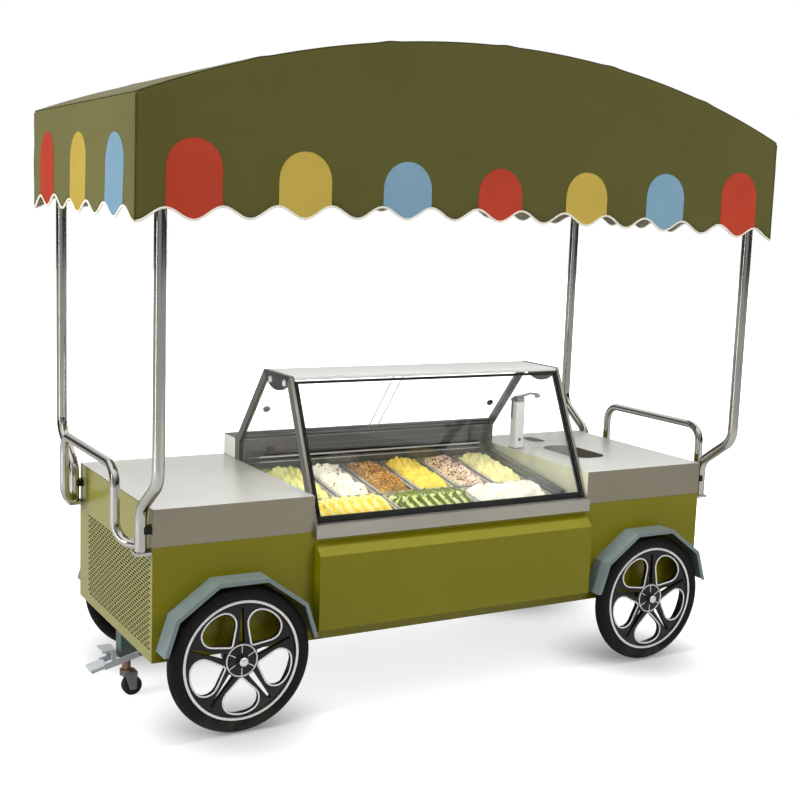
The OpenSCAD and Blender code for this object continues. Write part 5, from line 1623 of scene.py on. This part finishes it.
@dataclass
class Worktop:
    """The steel counters, the sink, the dipper well and the tap."""

    top: float = 795 * MM
    inner_x: float = 607 * MM
    sink: tuple[float, float, float, float] = (745 * MM, -185 * MM, 910 * MM, 115 * MM)
    dipper: tuple[float, float, float, float] = (797 * MM, 208 * MM, 870 * MM, 332 * MM)
    sink_floor: float = 634 * MM
    dipper_floor: float = 704 * MM
    lip: tuple[tuple[float, float, float], ...] = (
        (-1.0 * MM, 0.1 * MM, 0.75), (-1.4 * MM, 1.0 * MM, 0.75), (0.0, 1.5 * MM, 0.75),
        (6.0 * MM, 1.2 * MM, 0.2), (7.0 * MM, 0.1 * MM, 0.2))
    tap_x: float = 643 * MM
    tap_front: float = 109 * MM
    tap_y: float = 132 * MM
    screw_up: float = 40 * MM
    foot_half: float = 25 * MM
    foot_round: float = 6 * MM
    foot_steps: tuple[tuple[float, float], ...] = (
        (1.12, 0.1 * MM), (1.12, 2.4 * MM), (1.06, 4 * MM), (0.93, 4 * MM), (0.93, 0.1 * MM))

    def counters(self) -> None:
        """The counters: one steel in a paler copy on the faces that look up, painted light, and a darker copy
        on the side bands, painted shade; a liner on the inner faces.
        """
        for node in ("counter_left", "counter_right"):
            piece = rounded_node(node, 3 * MM, TOP_STEEL_PAINTED_LIGHT, BAND_STEEL_PAINTED_SHADE, LINER)
            for face in piece.data.polygons:
                inner = abs(face.normal.x) > 0.9 and abs(face.center.x) < self.inner_x
                # Up-facing faces take the painted light copy, side faces the painted shade copy.
                face.material_index = 0 if face.normal.z > 0.6 else 2 if inner else 1

    def basin_lips(self) -> None:
        """The rolled lips of the two basins and their drains."""
        form = Form()
        for (x0, y0, x1, y1), floor in ((self.sink, self.sink_floor), (self.dipper, self.dipper_floor)):
            cx, cy = (x0 + x1) / 2, (y0 + y1) / 2
            hx, hy = (x1 - x0) / 2, (y1 - y0) / 2
            rings = []
            for out, z, bend in self.lip:
                rings.append([(cx + x, cy + y, self.top + z)
                              for x, y in rounded_outline(hx + out, hy + out, bend * hx, 8)])
            form.rings(rings, looped=True)
            form.lathe(mm((9, 0.3), (22, 0.3), (23, 1.6), (16, 2.6), (10, 1.4)), 32, looped=True,
                       matrix=Matrix.Translation((cx, cy, floor)))
        # The lips take the paler copy of the counter steel: painted light.
        form.build("basin_lips", "cart", "counter_steel", TOP_STEEL_PAINTED_LIGHT)

    def tap(self) -> None:
        """The tap: a white column, a bright head and a dark lever."""
        rounded_node("tap_column", 5 * MM, TAP_WHITE)
        rounded_node("tap_spout", 1.4 * MM, TAP_METAL)
        dress(BLACK_TRIM, "tap_lever")
        form = Form()
        form.lathe(mm((7, 0.1), (7, 1.6), (5.4, 2.4), (0.3, 2.5)), 24,
                   matrix=placed((self.tap_x, self.tap_front, self.top + self.screw_up), 90))
        foot = rounded_outline(self.foot_half, self.foot_half, self.foot_round)
        centre = Vector((self.tap_x, self.tap_y, self.top))
        form.rings([[centre + Vector((x * s, y * s, z)) for x, y in foot] for s, z in self.foot_steps],
                   looped=True, mark=1)
        form.build("tap_foot", "cart", "tap_metal", BLACK_TRIM, TAP_METAL)

    def build(self) -> None:
        """Builds the worktop."""
        self.counters()
        dress(STEEL, "sink_basins")
        self.basin_lips()
        self.tap()


@dataclass
class TubeWork:
    """Canopy posts, push handles and their brackets."""

    plate_x: float = 1208 * MM
    post_y: float = 398 * MM
    plate_top: float = 652 * MM
    bolt_off: float = 15 * MM
    clamp_from: float = 690 * MM

    def bolts(self) -> None:
        """Two dark bolts on each foot plate."""
        form = Form()
        for sx, sy, d in product((-1, 1), repeat=3):
            place = (sx * self.plate_x, sy * self.post_y + d * self.bolt_off, self.plate_top)
            form.lathe(mm((5, 0.1), (5, 2.6), (3.6, 3.4), (0.3, 3.5)), 12, matrix=Matrix.Translation(place))
        form.build("foot_bolts", "cart", "bright_tube", DARK_GREY)

    def build(self) -> None:
        """Dresses the tubes and builds the brackets."""
        dress(CHROME, "canopy_posts", "push_handles")
        rounded_node("post_brackets", 1.6 * MM, CHROME, BLACK_TRIM,
                     pick=lambda c: 1 if c.z > self.clamp_from else 0)
        self.bolts()


@dataclass
class JackCaster:
    """The caster that a foot pedal raises and lowers."""

    pivot_x: float = -1108 * MM
    pivot_z: float = 165 * MM
    arm: float = 37 * MM
    slope: float = 14.5
    length: float = 188 * MM
    ribs: int = 6
    rib_back: float = 54 * MM
    rib_pitch: float = 9 * MM
    rib_wide: float = 4 * MM
    rib_in: float = 3 * MM
    rib_low: float = -8.4 * MM
    rib_high: float = -5.9 * MM

    def pedal_ribs(self) -> None:
        """Ribs across the pedal's tread, and the pivot's bolt heads."""
        form = Form()
        turn = placed((self.pivot_x, 0, self.pivot_z), 180 - self.slope, "Y")
        half = self.arm - self.rib_in
        for k in range(self.ribs):
            x = self.length - self.rib_back + k * self.rib_pitch
            form.block((x, -half, self.rib_low), (x + self.rib_wide, half, self.rib_high), 1 * MM,
                       matrix=turn)
        for sign in (-1, 1):
            form.lathe(mm((9, 0.1), (9, 4), (7, 5.6), (0.3, 5.8)), 6, mark=1,
                       matrix=placed((self.pivot_x, sign * self.arm, self.pivot_z), -90 * sign))
        form.build("pedal_ribs", "caster_pedal", "pedal_paint", PEDAL, FORK)

    def build(self) -> None:
        """Dresses the caster and adds its small pieces."""
        rounded_node("caster_tube", 2 * MM, CHASSIS)
        rounded_node("caster_pedal", 1.6 * MM, PEDAL)
        rounded_node("caster_fork", 1.4 * MM, FORK)
        rounded_node("caster_wheel", 5 * MM, SMALL_RUBBER)
        dress(COPPER, "caster_stem")
        self.pedal_ribs()


class Undercarriage:
    """Chassis, axles and what stands on the floor."""

    def build(self) -> None:
        """Dresses the solids behind the panels."""
        for finish, *nodes in ((CHASSIS, "chassis_frame"), (MACHINE, "floor_pan", "condensing_unit"),
                               (CHROME, "axles"), (DARK_GREY, "condenser_fan"), (TANK, "water_tanks")):
            dress(finish, *nodes)


@dataclass(frozen=True)
class Lamp:
    """A soft square lamp, or a long one where it is wide; a mirrored one shows only in reflections."""

    name: str
    at: tuple[float, float, float]
    aim: tuple[float, float, float]
    size: float
    watts: float
    wide: float = 0.0
    mirrored: bool = False

    def build(self) -> None:
        """Hangs the lamp, out of the camera's sight."""
        data = bpy.data.lights.new(self.name, "AREA")
        data.energy, data.size = self.watts, self.size
        if self.wide:
            data.shape, data.size, data.size_y = "RECTANGLE", self.wide, self.size
        lamp = bpy.data.objects.new(self.name, data)
        lamp.location = self.at
        lamp.visible_camera, lamp.visible_glossy = False, self.mirrored
        lamp.visible_diffuse = lamp.visible_transmission = not self.mirrored
        lamp.rotation_mode = "QUATERNION"
        lamp.rotation_quaternion = (Vector(self.aim) - Vector(self.at)).to_track_quat("-Z", "Y")
        bpy.context.scene.collection.objects.link(lamp)


LAMPS = (
    Lamp("key", (-6.4, -0.5, 3.2), (0, 0, 1.2), 2.6, 320.0),
    Lamp("front", (3.2, -6.2, 2.9), (0.4, 0, 1.6), 3.0, 150.0),
    Lamp("top", (0, 0.5, 6.0), (0, 0, 1.0), 4.0, 40.0),
    Lamp("under", (0.1, -0.55, 1.72), (0.1, -0.5, 0.6), 0.1, 15.0, wide=2.3),
    Lamp("display", (0, -0.08, 1.165), (0, -0.1, 0.7), 0.06, 1.2, wide=1.0),
    Lamp("strip_left", (-5.5, -1.0, 1.5), (0, 0, 1.4), 3.0, 16.0, wide=0.3, mirrored=True),
    Lamp("strip_right", (5.0, 2.6, 1.5), (0, 0, 1.4), 3.0, 16.0, wide=0.3, mirrored=True),
)


@dataclass
class Studio:
    """Floor, light and camera."""

    place: tuple[float, float, float] = (-2.55914, -4.36768, 1.78823)
    yaw: float = 30.079
    pitch: float = 8.299
    roll: float = 2.089
    focal: float = 1273.70
    frame_side: float = 800.0
    sensor: float = 36.0
    floor_half: float = 30.0
    floor_glow: float = 0.74
    # The next three values set the painted contact shadow by the wheels: how much glow it takes off, the
    # wheel it centres on, and its reach.
    contact_shadow_strength: float = 0.6
    wheel_shadow_at: tuple[float, float, float] = (0.905, 0.478, 0.0)
    contact_shadow_reach: tuple[float, float] = (0.05, 0.46)
    fade: tuple[float, float] = (1.2, 4.0)
    room_light: float = 0.26
    side_range: tuple[float, float] = (0.3, 0.62)
    level_range: tuple[float, float] = (0.12, 0.5)
    back_range: tuple[float, float] = (0.45, 0.8)
    ceiling_range: tuple[float, float] = (0.35, 0.85)
    ceiling_light: float = 0.8
    back_light: float = 0.75
    side_shade: Color = (0.05, 0.05, 0.05, 1.0)
    floor_color: Color = (0.5, 0.5, 0.5, 1.0)
    floor_patch: Color = (0.48, 0.48, 0.48, 1.0)
    sight: float = 200.0

    def directions(self) -> tuple[Vector, Vector, Vector]:
        """The camera's right, up and forward directions."""
        yaw, pitch, roll = (math.radians(a) for a in (self.yaw, self.pitch, self.roll))
        ahead = Vector((math.sin(yaw) * math.cos(pitch), math.cos(yaw) * math.cos(pitch), -math.sin(pitch)))
        right = Vector((math.cos(yaw), -math.sin(yaw), 0))
        up = right.cross(ahead)
        c, s = math.cos(roll), math.sin(roll)
        return right * c + up * s, up * c - right * s, ahead

    def camera(self) -> None:
        """A camera at the photograph's viewing angle."""
        data = bpy.data.cameras.new("camera")
        data.sensor_width = self.sensor
        data.lens = self.focal * self.sensor / self.frame_side
        data.clip_end = self.sight
        eye = bpy.data.objects.new("camera", data)
        bpy.context.scene.collection.objects.link(eye)
        right, up, ahead = self.directions()
        turn = Matrix((right, up, -ahead)).transposed().to_4x4()
        eye.matrix_world = Matrix.Translation(self.place) @ turn
        bpy.context.scene.camera = eye

    def floor_paint(self) -> bpy.types.Material:
        """Pale paint that runs out to white away from the cart, with a painted contact shadow: its glow drops
        near each wheel.
        """
        finish = Finish("studio_floor", self.floor_color, self.floor_patch, 0.6, 0.02, 0.4, 0.5)
        made = finish.material()
        tree = Tree(made.node_tree, keep=True)
        shader = next(n for n in made.node_tree.nodes if n.type == "BSDF_PRINCIPLED")
        away = tree.vector("LENGTH", tree.place())
        # Painted contact shadow: the glow drops near the wheels.
        beside = tree.vector("DISTANCE", tree.vector("ABSOLUTE", tree.place()), self.wheel_shadow_at)
        near = tree.math("SUBTRACT", 1.0, tree.ramp(beside, *self.contact_shadow_reach))
        low = tree.math("SUBTRACT", self.floor_glow, tree.math("MULTIPLY", near, self.contact_shadow_strength))
        glow = tree.math("ADD", low, tree.ramp(away, *self.fade))
        eye = tree.add("ShaderNodeLightPath").outputs["Is Camera Ray"]
        light = tree.math("MULTIPLY", glow, eye)
        mixed = tree.add("ShaderNodeCombineColor", dict.fromkeys(range(3), light))
        tree.feed(shader.inputs["Emission Color"], mixed.outputs[0])
        shader.inputs["Emission Strength"].default_value = 1.0
        return made

    def floor(self) -> None:
        """A pale floor, with painted contact shadows by the wheels."""
        h = self.floor_half
        mesh = bpy.data.meshes.new("floor")
        mesh.from_pydata([(-h, -h, 0), (h, -h, 0), (h, h, 0), (-h, h, 0)], [], [(0, 1, 2, 3)])
        mesh.materials.append(self.floor_paint())
        floor = bpy.data.objects.new("floor", mesh)
        bpy.context.scene.collection.objects.link(floor)

    def surroundings(self) -> None:
        """A white room, with darker sides that only reflections show."""
        world = bpy.data.worlds.new("studio")
        world.use_nodes = True
        bpy.context.scene.world = world
        tree = Tree(world.node_tree)
        direction = tree.add("ShaderNodeTexCoord").outputs["Generated"]
        height = tree.parts(direction)["Z"]
        right, _, ahead = self.directions()
        beside = tree.math("ABSOLUTE", tree.vector("DOT_PRODUCT", direction, right))
        sideways = tree.ramp(beside, *self.side_range)
        level = tree.math("SUBTRACT", 1.0, tree.ramp(height, *self.level_range))
        shade = tree.math("MULTIPLY", sideways, level)
        color = tree.mix(shade, WHITE, self.side_shade)
        behind = tree.ramp(tree.vector("DOT_PRODUCT", direction, ahead), *self.back_range)
        back = tree.math("MULTIPLY", behind, self.back_light)
        above = tree.math("MULTIPLY", tree.ramp(height, *self.ceiling_range), self.ceiling_light)
        strength = tree.math("ADD", above, tree.math("ADD", back, self.room_light))
        room = tree.add("ShaderNodeBackground", {"Color": color, "Strength": strength})
        white = tree.add("ShaderNodeBackground", {"Color": WHITE, "Strength": 1.0})
        eye = tree.add("ShaderNodeLightPath").outputs["Is Camera Ray"]
        blend = tree.add("ShaderNodeMixShader", {0: eye, 1: room.outputs[0], 2: white.outputs[0]})
        tree.add("ShaderNodeOutputWorld", {"Surface": blend.outputs[0]})

    def build(self) -> None:
        """Sets up the studio."""
        bpy.context.scene.view_settings.view_transform = "Standard"
        self.camera()
        self.floor()
        self.surroundings()
        for lamp in LAMPS:
            lamp.build()


def main() -> None:
    """Builds the cart's pieces in order."""
    logging.basicConfig(level=logging.INFO, format="%(message)s")
    Studio().build()
    Undercarriage().build()
    BodyShell().build()
    for end, front in (("front", True), ("rear", False)):
        for side, sign in (("left", -1), ("right", 1)):
            RoadWheel(f"{end}_{side}", sign * AXLE_X, front).build()
    JackCaster().build()
    Worktop().build()
    GelatoDisplay().build()
    TubeWork().build()
    Canopy().build()


if __name__ == "__main__":
    main()
